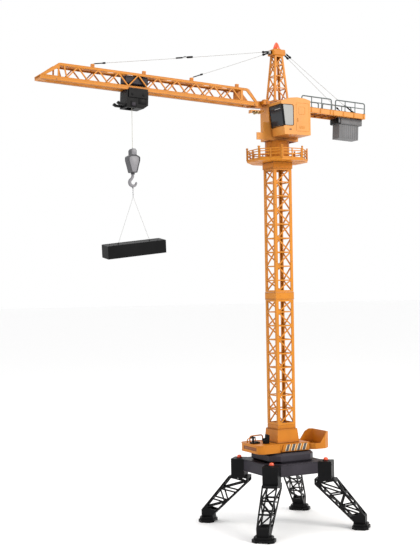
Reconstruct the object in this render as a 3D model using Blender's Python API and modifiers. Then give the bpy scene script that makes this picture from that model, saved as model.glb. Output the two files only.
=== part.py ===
"""Toy tower crane, 1.28 m high: an assembly of separate pieces with working joints.

Units are metres and +Z is up.  The slewing axis is the Z line through x = AXIS_X.
The jib points along -X, the counter-jib along +X and the cab hangs on the -Y side.
Points written in this file are measured from the slewing axis, and one empty
carries the whole crane sideways by AXIS_X, so that the model's box is centred
on the origin and the feet stand on z = 0.
"""

import math

import bmesh
import bpy
from mathutils import Matrix, Vector

# ---------------------------------------------------------------- driving dimensions
GAP = 0.0003                    # clearance between pieces that touch
AXIS_X = 0.1998                 # slewing axis, from the middle of the model's box

FOOT_RADIUS = 0.2117            # slewing axis to the middle of each foot
FOOT_HEIGHT = 0.014
BLOCK_RADIUS = 0.1175           # slewing axis to each corner block
BLOCK_SIZE = (0.036, 0.041)     # along and across the diagonal
BLOCK_BOTTOM = 0.127
BASE_HALF = 0.085
BASE_BOTTOM, BASE_TOP = 0.1415, 0.1725
BASE_WALL = 0.0035
LEG_HALF = 0.0205               # half of a leg's width at its top
LEG_TAPER = 0.27                # share of that width lost on the way down
BUTTON_RADIUS = 0.0062
BUTTON_RISE = 0.009
TURNTABLE_HALF = 0.0675
TURNTABLE_TOP = 0.1965

DECK_BOTTOM, DECK_TOP = 0.1985, 0.2195
DECK_FRONT, DECK_REAR = -0.100, 0.056
DECK_HALF = 0.054
TRAY_REAR = 0.123
TRAY_HALF = 0.050
TRAY_RIM, TRAY_BACK = 0.2135, 0.2410

SOCKET_LIP, SOCKET_TOP = 0.2550, 0.2660
MAST_HALF = 0.027               # half of the mast's square section
MAST_WALL = 0.003
MAST_COLUMN = 0.0075            # visible width of a corner column
MAST_BAR = 0.0015               # half of a rung's or a diagonal's width
MAST_LOW = (0.2665, 0.5955)
COLLAR = (0.5958, 0.6152)
MAST_HIGH = (0.6155, 0.9410)
TOP_COLLAR = (0.9413, 0.9600)
LOW_RUNGS = [0.2702 + 0.0366 * k for k in range(9)] + [0.5920]
HIGH_RUNGS = [0.6190] + [0.6467 + 0.0370 * k for k in range(8)] + [0.9385]

PLATFORM_FLOOR = (0.9590, 0.9635)
PLATFORM_FLATS = 0.1505         # across the flats of the octagon
RAIL_HEIGHT = 0.027
DRUM_TOP = 1.0145
DRUM_RADIUS = 0.0315

TURRET_HALF = 0.0215
TURRET_FRONT, TURRET_REAR = -0.0372, 0.0530
TURRET_TOP = 1.1085
HEAD_DECK_TOP = 1.1185
CAB_X = (-0.0275, 0.0515)
CAB_Y = (-0.085, -0.0232)
CAB_Z = (1.0235, 1.1205)
CAB_LEAN = 0.010                # how far the windscreen leans forward at its top
CAB_WALL = 0.003
FRONT_PANE = (1.0470, 1.0990)
SIDE_PANE = (1.0470, 1.1000)

HEAD_X = 0.003
HEAD_FOOT_HALF, HEAD_TOP_HALF = 0.0226, 0.0125
HEAD_TOP = 1.2430
HEAD_BLOCK_TOP = 1.2590
HEIGHT = 1.280

RISE = math.radians(2.62)       # the jib climbs outwards and the counter-jib falls, in one line
RISE_Z = 1.100                  # height at which that line crosses the slewing axis
JIB_BOTTOM, JIB_RAIL_TOP, JIB_TOP = 1.0995, 1.1045, 1.1418
JIB_HALF = 0.0205
JIB_PLATE = 0.0032
JIB_BAR = 0.0014                # half of a lattice bar's width
JIB_ROOT, JIB_TIP = -0.0690, -0.6650
JIB_SHOULDERS = (-0.1013, -0.6175)
JIB_END_TOP = 1.1085
JIB_SLOT = 0.0075               # half of the slot between the lower rails
JIB_BAY = 0.0531
JIB_FIRST_NODE = -0.1200
JIB_BAYS = 9
ROOT_PIN = (-0.0790, 1.1020)
LUG_X = (-0.5262, -0.3886, -0.2554, -0.1226)
LUG_HEIGHT = 0.012

COUNTER_FRONT, COUNTER_REAR = 0.0545, 0.2655
COUNTER_HALF = 0.033
COUNTER_Z = (1.0980, 1.1122)
COUNTER_RAIL_Z = 1.1422

TROLLEY_X = (-0.4422, -0.3842)
TROLLEY_HALF = 0.0210
TROLLEY_Z = (1.0555, JIB_BOTTOM - 0.001)
WHEEL_RADIUS = 0.0045
WINCH_RADIUS = 0.0065
ROPE_X = -0.4203
ROPE_RADIUS = 0.0006
WINCH_Z = 1.0931

HOOK_BLOCK = (0.9168, 0.9759)
HOOK_BOWL_Z = 0.8930
HOOK_BOWL_RADIUS = 0.0090
HOOK_WIRE = 0.0033
BEAM_SIZE = (0.1575, 0.038, 0.032)
BEAM_MIDDLE = (ROPE_X + 0.001, 0.0, 0.7290)
BEAM_TILT, BEAM_ROLL = math.radians(6.5), math.radians(10)
SLING_SPREAD = 0.0425
SLING_JOIN_Z = 0.8566

GEAR_TEETH, PINION_TEETH = 60, 12
GEAR_RADIUS = 0.030             # pitch radius of the slewing gear
GEAR_Z = (0.1510, 0.1560)
TOOTH = 0.0008                  # half of a tooth's height
PINION_ANGLE = math.radians(90)


# ---------------------------------------------------------------- scene, materials
for old in list(bpy.data.objects):
    bpy.data.objects.remove(old, do_unlink=True)

parts = bpy.data.collections.new("toy_tower_crane")
cutters = bpy.data.collections.new("cutters")
bpy.context.scene.collection.children.link(parts)
bpy.context.scene.collection.children.link(cutters)

axis = bpy.data.objects.new("slewing_axis", None)
axis.location = (AXIS_X, 0, 0)
parts.objects.link(axis)


def material(name, color, roughness=0.5, metallic=0.0):
    mat = bpy.data.materials.new(name)
    mat.use_nodes = True
    shader = mat.node_tree.nodes["Principled BSDF"]
    shader.inputs["Base Color"].default_value = (*color, 1)
    shader.inputs["Roughness"].default_value = roughness
    shader.inputs["Metallic"].default_value = metallic
    return mat


ORANGE = material("orange_plastic", (0.80, 0.34, 0.05), 0.42)
BLACK = material("black_plastic", (0.012, 0.012, 0.013), 0.4)
DARK = material("charcoal_plastic", (0.05, 0.045, 0.055), 0.5)
GREY = material("grey_plastic", (0.22, 0.22, 0.22), 0.45)
RED = material("red_plastic", (0.75, 0.10, 0.03), 0.35)
GLAZING = material("smoked_glazing", (0.10, 0.10, 0.10), 0.15)
RAILING = material("railing_grey", (0.07, 0.085, 0.085), 0.4)
STEEL = material("steel_wire", (0.55, 0.55, 0.55), 0.3, 1.0)


# ---------------------------------------------------------------- modelling helpers
def add(name, data, mat, place=None):
    """Puts a mesh or curve in the crane, carried by the axis empty."""
    obj = bpy.data.objects.new(name, data)
    obj.parent = axis
    obj.matrix_local = place or Matrix()
    parts.objects.link(obj)
    data.materials.clear()
    data.materials.append(mat)
    return obj


def as_mesh(obj):
    """Turns a curve object, or an object with modifiers, into a plain welded mesh."""
    bpy.context.view_layer.update()
    depsgraph = bpy.context.evaluated_depsgraph_get()
    mesh = bpy.data.meshes.new_from_object(obj.evaluated_get(depsgraph))
    weld(mesh)
    return mesh


def weld(mesh):
    shell = bmesh.new()
    shell.from_mesh(mesh)
    bmesh.ops.remove_doubles(shell, verts=shell.verts, dist=1e-6)
    shell.to_mesh(mesh)
    shell.free()


def box_mesh(low, high):
    shell = bmesh.new()
    size = Vector(high) - Vector(low)
    middle = (Vector(high) + Vector(low)) / 2
    place = Matrix.Translation(middle) @ Matrix.Diagonal((*size, 1))
    bmesh.ops.create_cube(shell, size=1, matrix=place)
    mesh = bpy.data.meshes.new("box")
    shell.to_mesh(mesh)
    shell.free()
    return mesh


def drum_mesh(centre, radius, length, along="Z", sides=24, top_radius=None):
    turn = {"X": Matrix.Rotation(math.pi / 2, 4, "Y"), "Y": Matrix.Rotation(-math.pi / 2, 4, "X"),
            "Z": Matrix()}[along]
    shell = bmesh.new()
    bmesh.ops.create_cone(shell, cap_ends=True, segments=sides, radius1=radius,
                          radius2=radius if top_radius is None else top_radius, depth=length,
                          matrix=Matrix.Translation(centre) @ turn)
    mesh = bpy.data.meshes.new("drum")
    shell.to_mesh(mesh)
    shell.free()
    return mesh


PLANES = {
    "XZ": Matrix.Rotation(math.pi / 2, 4, "X"),
    "YZ": Matrix.Rotation(math.pi / 2, 4, "Z") @ Matrix.Rotation(math.pi / 2, 4, "X"),
    "XY": Matrix(),
}
NORMALS = {"XZ": Vector((0, -1, 0)), "YZ": Vector((1, 0, 0)), "XY": Vector((0, 0, 1))}


def signed_area(outline):
    return sum(a[0] * b[1] - b[0] * a[1] for a, b in zip(outline, outline[1:] + outline[:1])) / 2


def plate_curve(outlines, thickness):
    """A 2D curve: the first outline is the rim, and the others, wound the other way, are holes."""
    curve = bpy.data.curves.new("outline", "CURVE")
    curve.dimensions = "2D"
    curve.fill_mode = "BOTH"
    curve.extrude = thickness / 2
    for k, outline in enumerate(outlines):
        spline = curve.splines.new("POLY")
        spline.points.add(len(outline) - 1)
        forward = (signed_area(outline) > 0) == (k == 0)
        for point, (x, y) in zip(spline.points, outline if forward else outline[::-1]):
            point.co = (x, y, 0, 1)
        spline.use_cyclic_u = True
    return curve


def plate_mesh(outlines, plane, low, high):
    """An extruded outline as a mesh, between two heights along the plane's normal."""
    curve = plate_curve(outlines, high - low)
    obj = bpy.data.objects.new("outline", curve)
    bpy.context.scene.collection.objects.link(obj)
    mesh = as_mesh(obj)
    bpy.data.objects.remove(obj, do_unlink=True)
    mesh.transform(Matrix.Translation(NORMALS[plane] * (low + high) / 2) @ PLANES[plane])
    return mesh


def plate(name, outlines, plane, low, high, mat):
    return add(name, plate_mesh(outlines, plane, low, high), mat)


def box(name, low, high, mat, bevel=0.0):
    obj = add(name, box_mesh(low, high), mat)
    if bevel:
        soften(obj, bevel)
    return obj


def soften(obj, width, segments=1, angle=40):
    bevel = obj.modifiers.new("edges", "BEVEL")
    bevel.width = width
    bevel.segments = segments
    bevel.limit_method = "ANGLE"
    bevel.angle_limit = math.radians(angle)
    bevel.use_clamp_overlap = True


def boolean(obj, mesh, operation):
    tool = bpy.data.objects.new("cutter_" + obj.name, mesh)
    tool.parent = axis
    tool.hide_render = True
    tool.display_type = "WIRE"
    cutters.objects.link(tool)
    step = obj.modifiers.new(operation.lower(), "BOOLEAN")
    step.operation = operation
    step.solver = "EXACT"
    step.object = tool
    return obj


def cut(obj, *meshes):
    for mesh in meshes:
        boolean(obj, mesh, "DIFFERENCE")
    return obj


def join(obj, *meshes):
    for mesh in meshes:
        boolean(obj, mesh, "UNION")
    return obj


def group(meshes):
    """Several separate solids in one mesh."""
    shell = bmesh.new()
    for mesh in meshes:
        shell.from_mesh(mesh)
    merged = bpy.data.meshes.new("group")
    shell.to_mesh(merged)
    shell.free()
    return merged


def tube(name, runs, radius, mat, sides=2):
    """Bars of round section along open runs of points."""
    curve = bpy.data.curves.new(name, "CURVE")
    curve.dimensions = "3D"
    curve.bevel_depth = radius
    curve.bevel_resolution = sides
    curve.use_fill_caps = True
    for run in runs:
        spline = curve.splines.new("POLY")
        spline.points.add(len(run) - 1)
        for point, place in zip(spline.points, run):
            point.co = (*place, 1)
    return add(name, curve, mat)


# ---------------------------------------------------------------- outlines
def rectangle(x0, y0, x1, y1):
    return [(x0, y0), (x1, y0), (x1, y1), (x0, y1)]


def cut_corner_square(half, corner):
    inner = half - corner
    return [(-half, -inner), (-inner, -half), (inner, -half), (half, -inner),
            (half, inner), (inner, half), (-inner, half), (-half, inner)]


def rounded(points, radii, steps=4):
    """Rounds each corner of an outline by an arc of the given radius."""
    result = []
    for i, corner in enumerate(points):
        here = Vector(corner)
        radius = radii[i] if isinstance(radii, (list, tuple)) else radii
        before = (Vector(points[i - 1]) - here).normalized()
        after = (Vector(points[(i + 1) % len(points)]) - here).normalized()
        if radius <= 0:
            result.append(tuple(here))
            continue
        half = before.angle(after) / 2
        reach = radius / math.tan(half)
        centre = here + (before + after).normalized() * radius / math.sin(half)
        start = here + before * reach - centre
        end = here + after * reach - centre
        sweep = math.atan2(start.x * end.y - start.y * end.x, start.dot(end))
        for k in range(steps + 1):
            turn = sweep * k / steps
            c, s = math.cos(turn), math.sin(turn)
            result.append((centre.x + c * start.x - s * start.y, centre.y + s * start.x + c * start.y))
    return result


def inset(points, distance):
    """Moves each side of a convex outline inwards by the distance."""
    side = 1 if signed_area(points) > 0 else -1
    lines = []
    for a, b in zip(points, points[1:] + points[:1]):
        along = (Vector(b) - Vector(a)).normalized()
        normal = Vector((-along.y, along.x)) * side
        lines.append((Vector(a) + normal * distance, along))
    corners = []
    for (p, d), (q, e) in zip(lines[-1:] + lines[:-1], lines):
        t = ((q.x - p.x) * e.y - (q.y - p.y) * e.x) / (d.x * e.y - d.y * e.x)
        corners.append(tuple(p + d * t))
    return corners


def braced_bays(left, right, bar, first=0):
    """Two triangular windows in each bay, with the diagonals turning about."""
    windows = []
    for k in range(len(left) - 1):
        a, b, c, d = left[k], right[k], right[k + 1], left[k + 1]
        if (k + first) % 2:
            pair = ([a, b, d], [b, c, d])
        else:
            pair = ([a, b, c], [a, c, d])
        windows += [inset(triangle, bar) for triangle in pair]
    return windows


def zigzag(points, bar):
    """Triangular windows between the bars of a zigzag."""
    return [inset(list(points[k:k + 3]), bar) for k in range(len(points) - 2)]


CLIMB = (Matrix.Translation((0, 0, RISE_Z)) @ Matrix.Rotation(RISE, 4, "Y")
         @ Matrix.Translation((0, 0, -RISE_Z)))


def raised(x, z, y=0.0):
    """Where a point drawn on the level jib comes to on the climbing jib."""
    return CLIMB @ Vector((x, y, z))


def carry(move, *names):
    """Moves finished pieces, with the solids cut from them or joined to them."""
    bpy.context.view_layer.update()
    for name in names:
        obj = bpy.data.objects[name]
        obj.matrix_local = move @ obj.matrix_local
        for step in obj.modifiers:
            if step.type == "BOOLEAN":
                step.object.matrix_local = move @ step.object.matrix_local


def diagonal(sx, sy):
    """Turns +X to point along the diagonal towards one leg."""
    return Matrix.Rotation(math.atan2(sy, sx), 4, "Z")


LEGS = {"jib_near": (-1, -1), "jib_far": (-1, 1), "tail_near": (1, -1), "tail_far": (1, 1)}


# ---------------------------------------------------------------- base and legs
def base():
    outline = rectangle(-BASE_HALF, -BASE_HALF, BASE_HALF, BASE_HALF)
    frame = plate("base_frame", [outline], "XY", BASE_BOTTOM, BASE_TOP, DARK)
    length, width = BLOCK_SIZE
    for sx, sy in LEGS.values():
        block = box_mesh((BLOCK_RADIUS - length / 2, -width / 2, BLOCK_BOTTOM),
                         (BLOCK_RADIUS + length / 2, width / 2, BASE_TOP + 0.0002))
        block.transform(diagonal(sx, sy))
        join(frame, block)
    inner = BASE_HALF - BASE_WALL
    room = plate_mesh([cut_corner_square(inner, 0.034)], "XY", BASE_BOTTOM - 0.01, BASE_TOP - BASE_WALL)
    cut(frame, room, drum_mesh((0, 0, BASE_TOP), 0.0125, 0.02, sides=32))
    for sx, sy in LEGS.values():
        well = drum_mesh((BLOCK_RADIUS, 0, BASE_TOP - 0.006), BUTTON_RADIUS + GAP, 0.016, sides=20)
        well.transform(diagonal(sx, sy))
        cut(frame, well)
    cover = cut_corner_square(inner - GAP, 0.0345)
    plate("base_cover", [cover], "XY", BASE_BOTTOM + 0.0005, BASE_BOTTOM + 0.003, BLACK)

    table = plate("turntable_plate", [cut_corner_square(TURNTABLE_HALF, 0.022)], "XY",
                  BASE_TOP + GAP, TURNTABLE_TOP, DARK)
    soften(table, 0.005, angle=60)
    cut(table, drum_mesh((0, 0, (BASE_TOP + TURNTABLE_TOP) / 2), 0.0127, 0.06, sides=28))

    place = Matrix.Translation((0.040, 0.030, 0))
    motor = drum_mesh((0, 0, BASE_BOTTOM + 0.0150), 0.0105, 0.0215, sides=20)
    motor.transform(place)
    add("slew_motor", motor, STEEL)


def circle(radius, sides=32, centre=(0, 0)):
    return [(centre[0] + radius * math.cos(2 * math.pi * k / sides),
             centre[1] + radius * math.sin(2 * math.pi * k / sides)) for k in range(sides)]


def gear_outline(radius, teeth, phase):
    """Straight-sided teeth, narrow enough to run free in the gear they meet."""
    points = []
    for k in range(teeth):
        for share, reach in ((-0.30, -TOOTH), (-0.14, TOOTH), (0.14, TOOTH), (0.30, -TOOTH)):
            angle = phase + (k + share) * 2 * math.pi / teeth
            points.append(((radius + reach) * math.cos(angle), (radius + reach) * math.sin(angle)))
    return points


def gears():
    z0, z1 = GEAR_Z
    wheel = plate_mesh([gear_outline(GEAR_RADIUS, GEAR_TEETH, 0)], "XY", z0, z1)
    gear = add("slew_gear", wheel, GREY)
    spindle_top = DECK_BOTTOM - GAP
    join(gear, drum_mesh((0, 0, (z0 + spindle_top) / 2), 0.0115, spindle_top - z0, sides=32))
    pinion_radius = GEAR_RADIUS * PINION_TEETH / GEAR_TEETH
    reach = GEAR_RADIUS + pinion_radius + 0.0005
    centre = Vector((reach * math.cos(PINION_ANGLE), reach * math.sin(PINION_ANGLE), 0))
    facing = PINION_ANGLE + math.pi + math.pi / PINION_TEETH
    teeth = gear_outline(pinion_radius, PINION_TEETH, facing)
    pinion = plate_mesh([teeth], "XY", z0 - 0.0005, z1 + 0.0005)
    add("slew_pinion", pinion, GREY, Matrix.Translation(centre))


def leg_side():
    """The leg's outline in the plane of its diagonal: (radius, height)."""
    top = BLOCK_BOTTOM - GAP
    return [(0.0900, top), (0.0900, 0.1120), (0.1902, 0.0180), (0.1902, 0.0060), (0.2212, 0.0060),
            (0.2212, 0.0330), (0.1425, top)]


def leg_room():
    """The hollow inside a leg, which the windows in its walls open."""
    return [(0.0940, 0.1227), (0.0940, 0.1137), (0.1826, 0.0300), (0.2122, 0.0300), (0.2156, 0.0345),
            (0.1404, 0.1227)]


def narrow(mesh):
    """Makes a leg narrower towards its foot."""
    for vertex in mesh.vertices:
        vertex.co.y *= 1 - LEG_TAPER * (1 - vertex.co.z / BLOCK_BOTTOM)
    return mesh


def leg(name, sx, sy):
    half, wall, bar = LEG_HALF, 0.0038, 0.0018
    obj = add(name, narrow(plate_mesh([leg_side()], "XZ", -half, half)), BLACK)
    room = narrow(plate_mesh([leg_room()], "XZ", wall - half, half - wall))
    inner = [(0.0926, 0.1235), (0.0926, 0.1130), (0.1248, 0.0830), (0.1552, 0.0550), (0.1815, 0.0298)]
    outer = [(0.1165, 0.1235), (0.1409, 0.1235), (0.1670, 0.0915), (0.1912, 0.0640), (0.2130, 0.0380)]
    sides = [plate_mesh([w], "XZ", -0.03, 0.03) for w in braced_bays(inner, outer, bar, 1)]
    heights = (0.1220, 0.0925, 0.0635, 0.0345)
    reach = [(half - 0.0015) * (1 - LEG_TAPER * (1 - z / BLOCK_BOTTOM)) for z in heights]
    left = [(-y, z) for y, z in zip(reach, heights)]
    right = [(y, z) for y, z in zip(reach, heights)]
    faces = [plate_mesh([w], "YZ", 0.080, 0.230) for w in braced_bays(left, right, bar, 1)]
    middle = FOOT_RADIUS - 0.004
    sole = [(x + middle, y) for x, y in foot_outline(0.0215, 0.0285)]
    ankle = [(x + middle, y) for x, y in foot_outline(0.0185, 0.0235)]
    join(obj, plate_mesh([sole], "XY", 0, 0.0075), plate_mesh([ankle], "XY", 0.004, FOOT_HEIGHT))
    arch = box_mesh((FOOT_RADIUS - 0.04, -0.0135, -0.004), (FOOT_RADIUS + 0.04, 0.0135, 0.0028))
    cut(obj, room, group(sides), group(faces), arch)
    for step in obj.modifiers:
        step.object.matrix_local = diagonal(sx, sy)
    obj.matrix_local = diagonal(sx, sy)


def foot_outline(half_long, half_wide):
    """An octagon, longer across the diagonal than along it."""
    cut_x, cut_y = half_long * 0.55, half_wide * 0.62
    return [(-half_long, -cut_y), (-cut_x, -half_wide), (cut_x, -half_wide), (half_long, -cut_y),
            (half_long, cut_y), (cut_x, half_wide), (-cut_x, half_wide), (-half_long, cut_y)]


def lock_button(name, sx, sy):
    """A domed button on a stem, with its origin on the line it is pressed along."""
    top, radius = BUTTON_RISE, BUTTON_RADIUS
    profile = [(0, top), (radius * 0.50, top - 0.0006), (radius * 0.82, top - 0.0020),
               (radius * 0.96, top - 0.0040), (radius, top - 0.0058), (radius, -0.0035), (0, -0.0035)]
    place = diagonal(sx, sy) @ Matrix.Translation((BLOCK_RADIUS, 0, BASE_TOP))
    turned(name, profile, RED, place, 20)


def turned(name, profile, mat, place, steps):
    """A closed turned piece from a profile that runs down its outer side."""
    mesh = bpy.data.meshes.new(name)
    edges = [(k, k + 1) for k in range(len(profile) - 1)]
    mesh.from_pydata([(r, 0, z) for r, z in profile], edges, [])
    obj = add(name, mesh, mat, place)
    screw = obj.modifiers.new("turn", "SCREW")
    screw.steps = screw.render_steps = steps
    screw.use_merge_vertices = True
    screw.merge_threshold = 0.00001
    screw.use_smooth_shade = False
    return obj


# ---------------------------------------------------------------- deck
def deck():
    outline = rounded([(DECK_FRONT, -DECK_HALF), (-0.040, -DECK_HALF), (-0.033, -DECK_HALF + 0.007),
                       (DECK_REAR, -DECK_HALF + 0.007), (DECK_REAR, DECK_HALF - 0.007),
                       (-0.033, DECK_HALF - 0.007), (-0.040, DECK_HALF), (DECK_FRONT, DECK_HALF)],
                      [0.020, 0, 0, 0, 0, 0, 0, 0.020])
    shell = plate("deck_shell", [outline], "XY", DECK_BOTTOM, DECK_TOP, ORANGE)
    room = rectangle(DECK_FRONT + 0.012, -0.040, DECK_REAR - 0.004, 0.040)
    cut(shell, plate_mesh([room], "XY", DECK_BOTTOM + 0.003, DECK_TOP - 0.003),
        box_mesh((DECK_FRONT - 0.01, -0.036, DECK_BOTTOM + 0.0065),
                 (DECK_FRONT + 0.0012, 0.028, DECK_TOP - 0.0055)),
        drum_mesh((0.036, 0, DECK_BOTTOM), 0.006, 0.012))
    slant = [(-0.030, DECK_BOTTOM + 0.001), (0.046, DECK_BOTTOM + 0.001), (0.050, DECK_TOP - 0.001),
             (-0.024, DECK_TOP - 0.001)]
    flank = DECK_HALF - 0.007
    for low, high in ((-flank - 0.0022, -flank + 0.001), (flank - 0.001, flank + 0.0022)):
        join(shell, plate_mesh([slant], "XZ", low, high))

    rear = [(DECK_REAR + GAP, -0.036), (0.074, -TRAY_HALF), (0.105, -TRAY_HALF), (TRAY_REAR, -0.036),
            (TRAY_REAR, 0.036), (0.105, TRAY_HALF), (0.074, TRAY_HALF), (DECK_REAR + GAP, 0.036)]
    tray = plate("ballast_tray", [rear], "XY", DECK_BOTTOM, TRAY_BACK, ORANGE)
    floor = DECK_BOTTOM + 0.006
    wedge = [(0.05, TRAY_RIM), (0.0900, TRAY_RIM), (0.1150, TRAY_BACK + 0.004), (0.05, TRAY_BACK + 0.004)]
    cut(tray, plate_mesh([inset(rear, 0.003)], "XY", floor, TRAY_BACK + 0.01),
        plate_mesh([wedge], "XZ", -0.06, 0.06))

    foot = DECK_TOP + GAP
    seat = [(-0.0640, foot), (-0.0500, foot), (-0.0485, 0.2415), (-0.0535, 0.2425), (-0.0560, 0.2285),
            (-0.0640, 0.2275)]
    soften(plate("driver_seat", [seat], "XZ", 0.008, 0.020, BLACK), 0.001)
    stand = box("control_levers", (-0.0900, -0.004, foot), (-0.0690, 0.014, foot + 0.0035), BLACK)
    join(stand, box_mesh((-0.0860, 0.003, DECK_TOP + 0.002), (-0.0830, 0.009, 0.2355)),
         box_mesh((-0.0900, 0.000, 0.2340), (-0.0800, 0.012, 0.2370)))


# ---------------------------------------------------------------- mast
def socket():
    """The tapered foot of the mast, with a lip and a square room inside."""
    base_half, top_half, lip = 0.0335, 0.0300, SOCKET_LIP
    foot = drum_mesh((0, 0, (DECK_TOP + GAP + lip) / 2), base_half * math.sqrt(2), lip - DECK_TOP - GAP,
                     sides=4, top_radius=top_half * math.sqrt(2))
    foot.transform(Matrix.Rotation(math.pi / 4, 4, "Z"))
    obj = add("mast_socket", foot, ORANGE)
    join(obj, box_mesh((-MAST_HALF, -MAST_HALF, lip - 0.001), (MAST_HALF, MAST_HALF, SOCKET_TOP)))
    inner = 0.0225
    cut(obj, box_mesh((-inner, -inner, DECK_TOP + 0.004), (inner, inner, SOCKET_TOP + 0.01)))


def mast_panel(name, plane, side, low, high, rungs, first):
    half = MAST_HALF if plane == "XZ" else MAST_HALF - MAST_WALL - GAP
    width = MAST_COLUMN if plane == "XZ" else MAST_COLUMN - MAST_WALL
    edge = half - width + MAST_BAR
    left = [(-edge, z) for z in rungs]
    right = [(edge, z) for z in rungs]
    windows = braced_bays(left, right, MAST_BAR, first)
    outer = rectangle(-half, low, half, high)
    near, far = sorted((side * MAST_HALF, side * (MAST_HALF - MAST_WALL)))
    plate(name, [outer] + windows, plane, near, far, ORANGE)


def mast():
    for level, (low, high), rungs in (("lower", MAST_LOW, LOW_RUNGS), ("upper", MAST_HIGH, HIGH_RUNGS)):
        for face, plane, side, first in (("near", "XZ", 1, 0), ("far", "XZ", -1, 1),
                                         ("front", "YZ", -1, 1), ("rear", "YZ", 1, 0)):
            mast_panel(f"mast_{level}_{face}", plane, side, low, high, rungs, first)
    plate("mast_collar", square_ring(0.0008), "XY", *COLLAR, ORANGE)


def square_ring(grow):
    half = MAST_HALF + grow
    inner = MAST_HALF - MAST_WALL - 0.001
    return [rectangle(-half, -half, half, half), rectangle(-inner, -inner, inner, inner)]


def octagon(flats):
    radius = flats / 2 / math.cos(math.pi / 8)
    angles = [math.pi / 8 + math.pi / 4 * k for k in range(8)]
    return [(radius * math.cos(angle), radius * math.sin(angle)) for angle in angles]


def platform():
    floor = plate("service_platform", [octagon(PLATFORM_FLATS)], "XY", *PLATFORM_FLOOR, ORANGE)
    join(floor, plate_mesh(square_ring(0.0018), "XY", TOP_COLLAR[0], PLATFORM_FLOOR[0] + 0.001))
    cut(floor, drum_mesh((0, 0, PLATFORM_FLOOR[0]), 0.016, 0.02, sides=24))
    low, high = PLATFORM_FLOOR[1] + GAP, PLATFORM_FLOOR[1] + RAIL_HEIGHT
    thick, post, bar = 0.0020, 0.0022, 0.0022
    ring = [octagon(PLATFORM_FLATS - 0.0006), octagon(PLATFORM_FLATS - 0.0006 - 2 * thick)]
    fence = plate("platform_railing", ring, "XY", low, high, ORANGE)
    width = PLATFORM_FLATS * math.tan(math.pi / 8) / 2 - thick
    rows = (low + 0.0010, low + 0.0105, low + 0.0185, high - bar)
    windows = [rectangle(-width + post, rows[i] + bar, width - post, rows[i + 1]) for i in range(3)]
    for k in range(4):
        slots = group([plate_mesh([w], "XZ", -0.09, 0.09) for w in windows])
        slots.transform(Matrix.Rotation(math.pi / 4 * k, 4, "Z"))
        cut(fence, slots)


# ---------------------------------------------------------------- turret and cab
def turret():
    drum = add("slewing_drum", drum_mesh((0, 0, (PLATFORM_FLOOR[1] + GAP + DRUM_TOP) / 2), DRUM_RADIUS,
                                         DRUM_TOP - PLATFORM_FLOOR[1] - GAP, sides=32), ORANGE)
    cut(drum, drum_mesh((0, 0, 0.985), 0.020, 0.09, sides=24))
    low = DRUM_TOP + GAP
    core = rectangle(TURRET_FRONT, low, TURRET_REAR, TURRET_TOP)
    body = plate("turret_body", [core], "XZ", -TURRET_HALF, TURRET_HALF, ORANGE)
    steps = [(-0.0730, low + 0.0004), (-0.0350, low + 0.0004), (-0.0350, 1.0613), (-0.0552, 1.0613),
             (-0.0552, 1.0339), (-0.0730, 1.0339)]
    join(body, plate_mesh([steps], "XZ", TURRET_HALF - 0.0048, TURRET_HALF - 0.0003))
    cut(body, box_mesh((TURRET_FRONT + 0.005, -0.0165, low - 0.01),
                       (TURRET_REAR - 0.004, 0.0165, TURRET_TOP - 0.004)))

    top = box("turret_deck", (-0.0520, -TURRET_HALF, TURRET_TOP + GAP),
              (TURRET_REAR, 0.030, HEAD_DECK_TOP), ORANGE)
    ear = [(-0.0850, 1.1000), (-0.0500, 1.1000), (-0.0490, 1.1100), (-0.0490, HEAD_DECK_TOP - 0.0005),
           (-0.0640, HEAD_DECK_TOP - 0.0005), (-0.0850, 1.1110)]
    pin = raised(*ROOT_PIN)
    join(top, plate_mesh([ear], "XZ", -0.0068, 0.0068),
         drum_mesh(pin, 0.0016, 0.038, along="Y", sides=12))


def cab():
    x0, x1 = CAB_X
    y0, y1 = CAB_Y
    z0, z1 = CAB_Z
    outline = [(x0, z0), (x1, z0), (x1, z1 - 0.0065), (0.0350, z1 - 0.0020), (0.0110, z1),
               (-0.0120, z1 - 0.0025), (x0 - CAB_LEAN, z1 - 0.0120)]
    shell = plate("cab_shell", [outline], "XZ", -y1, -y0, ORANGE)
    room = [(x0 + CAB_WALL, z0 + CAB_WALL), (x1 - CAB_WALL, z0 + CAB_WALL), (x1 - CAB_WALL, z1 - 0.0130),
            (x0 - CAB_LEAN + CAB_WALL + 0.001, z1 - 0.0155)]
    front = rectangle(y0 + 0.0015, FRONT_PANE[0], y1 - 0.0035, FRONT_PANE[1])
    low, high = SIDE_PANE
    slope = CAB_LEAN / (z1 - 0.0120 - z0)
    side = rounded([(x0 + 0.0035 - slope * (low - z0), low), (-0.0010, low), (-0.0010, high),
                    (x0 + 0.0035 - slope * (high - z0), high)], [0.0, 0.004, 0.007, 0.0])
    recess = plate_mesh([front], "YZ", x0 - 0.01, x0 + 0.0015)
    pane = plate_mesh([inset(front, GAP)], "YZ", x0 - 0.0006, x0 + 0.0012)
    for vertex in list(recess.vertices) + list(pane.vertices):
        vertex.co.x -= slope * (vertex.co.z - z0)
    cut(shell, plate_mesh([room], "XZ", -(y1 + 0.01), -(y0 + CAB_WALL)), recess,
        plate_mesh([side], "XZ", -y0 - 0.004, -y0 + 0.01))
    plate("cab_side_window", [inset(side, GAP)], "XZ", -y0 - 0.0025, -y0 - 0.0006, GLAZING)
    add("cab_front_window", pane, GLAZING)


# ---------------------------------------------------------------- tower head
def frustum(low, high, low_half, high_half):
    mesh = drum_mesh((0, 0, (low + high) / 2), low_half * math.sqrt(2), high - low, sides=4,
                     top_radius=high_half * math.sqrt(2))
    mesh.transform(Matrix.Rotation(math.pi / 4, 4, "Z"))
    return mesh


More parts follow.
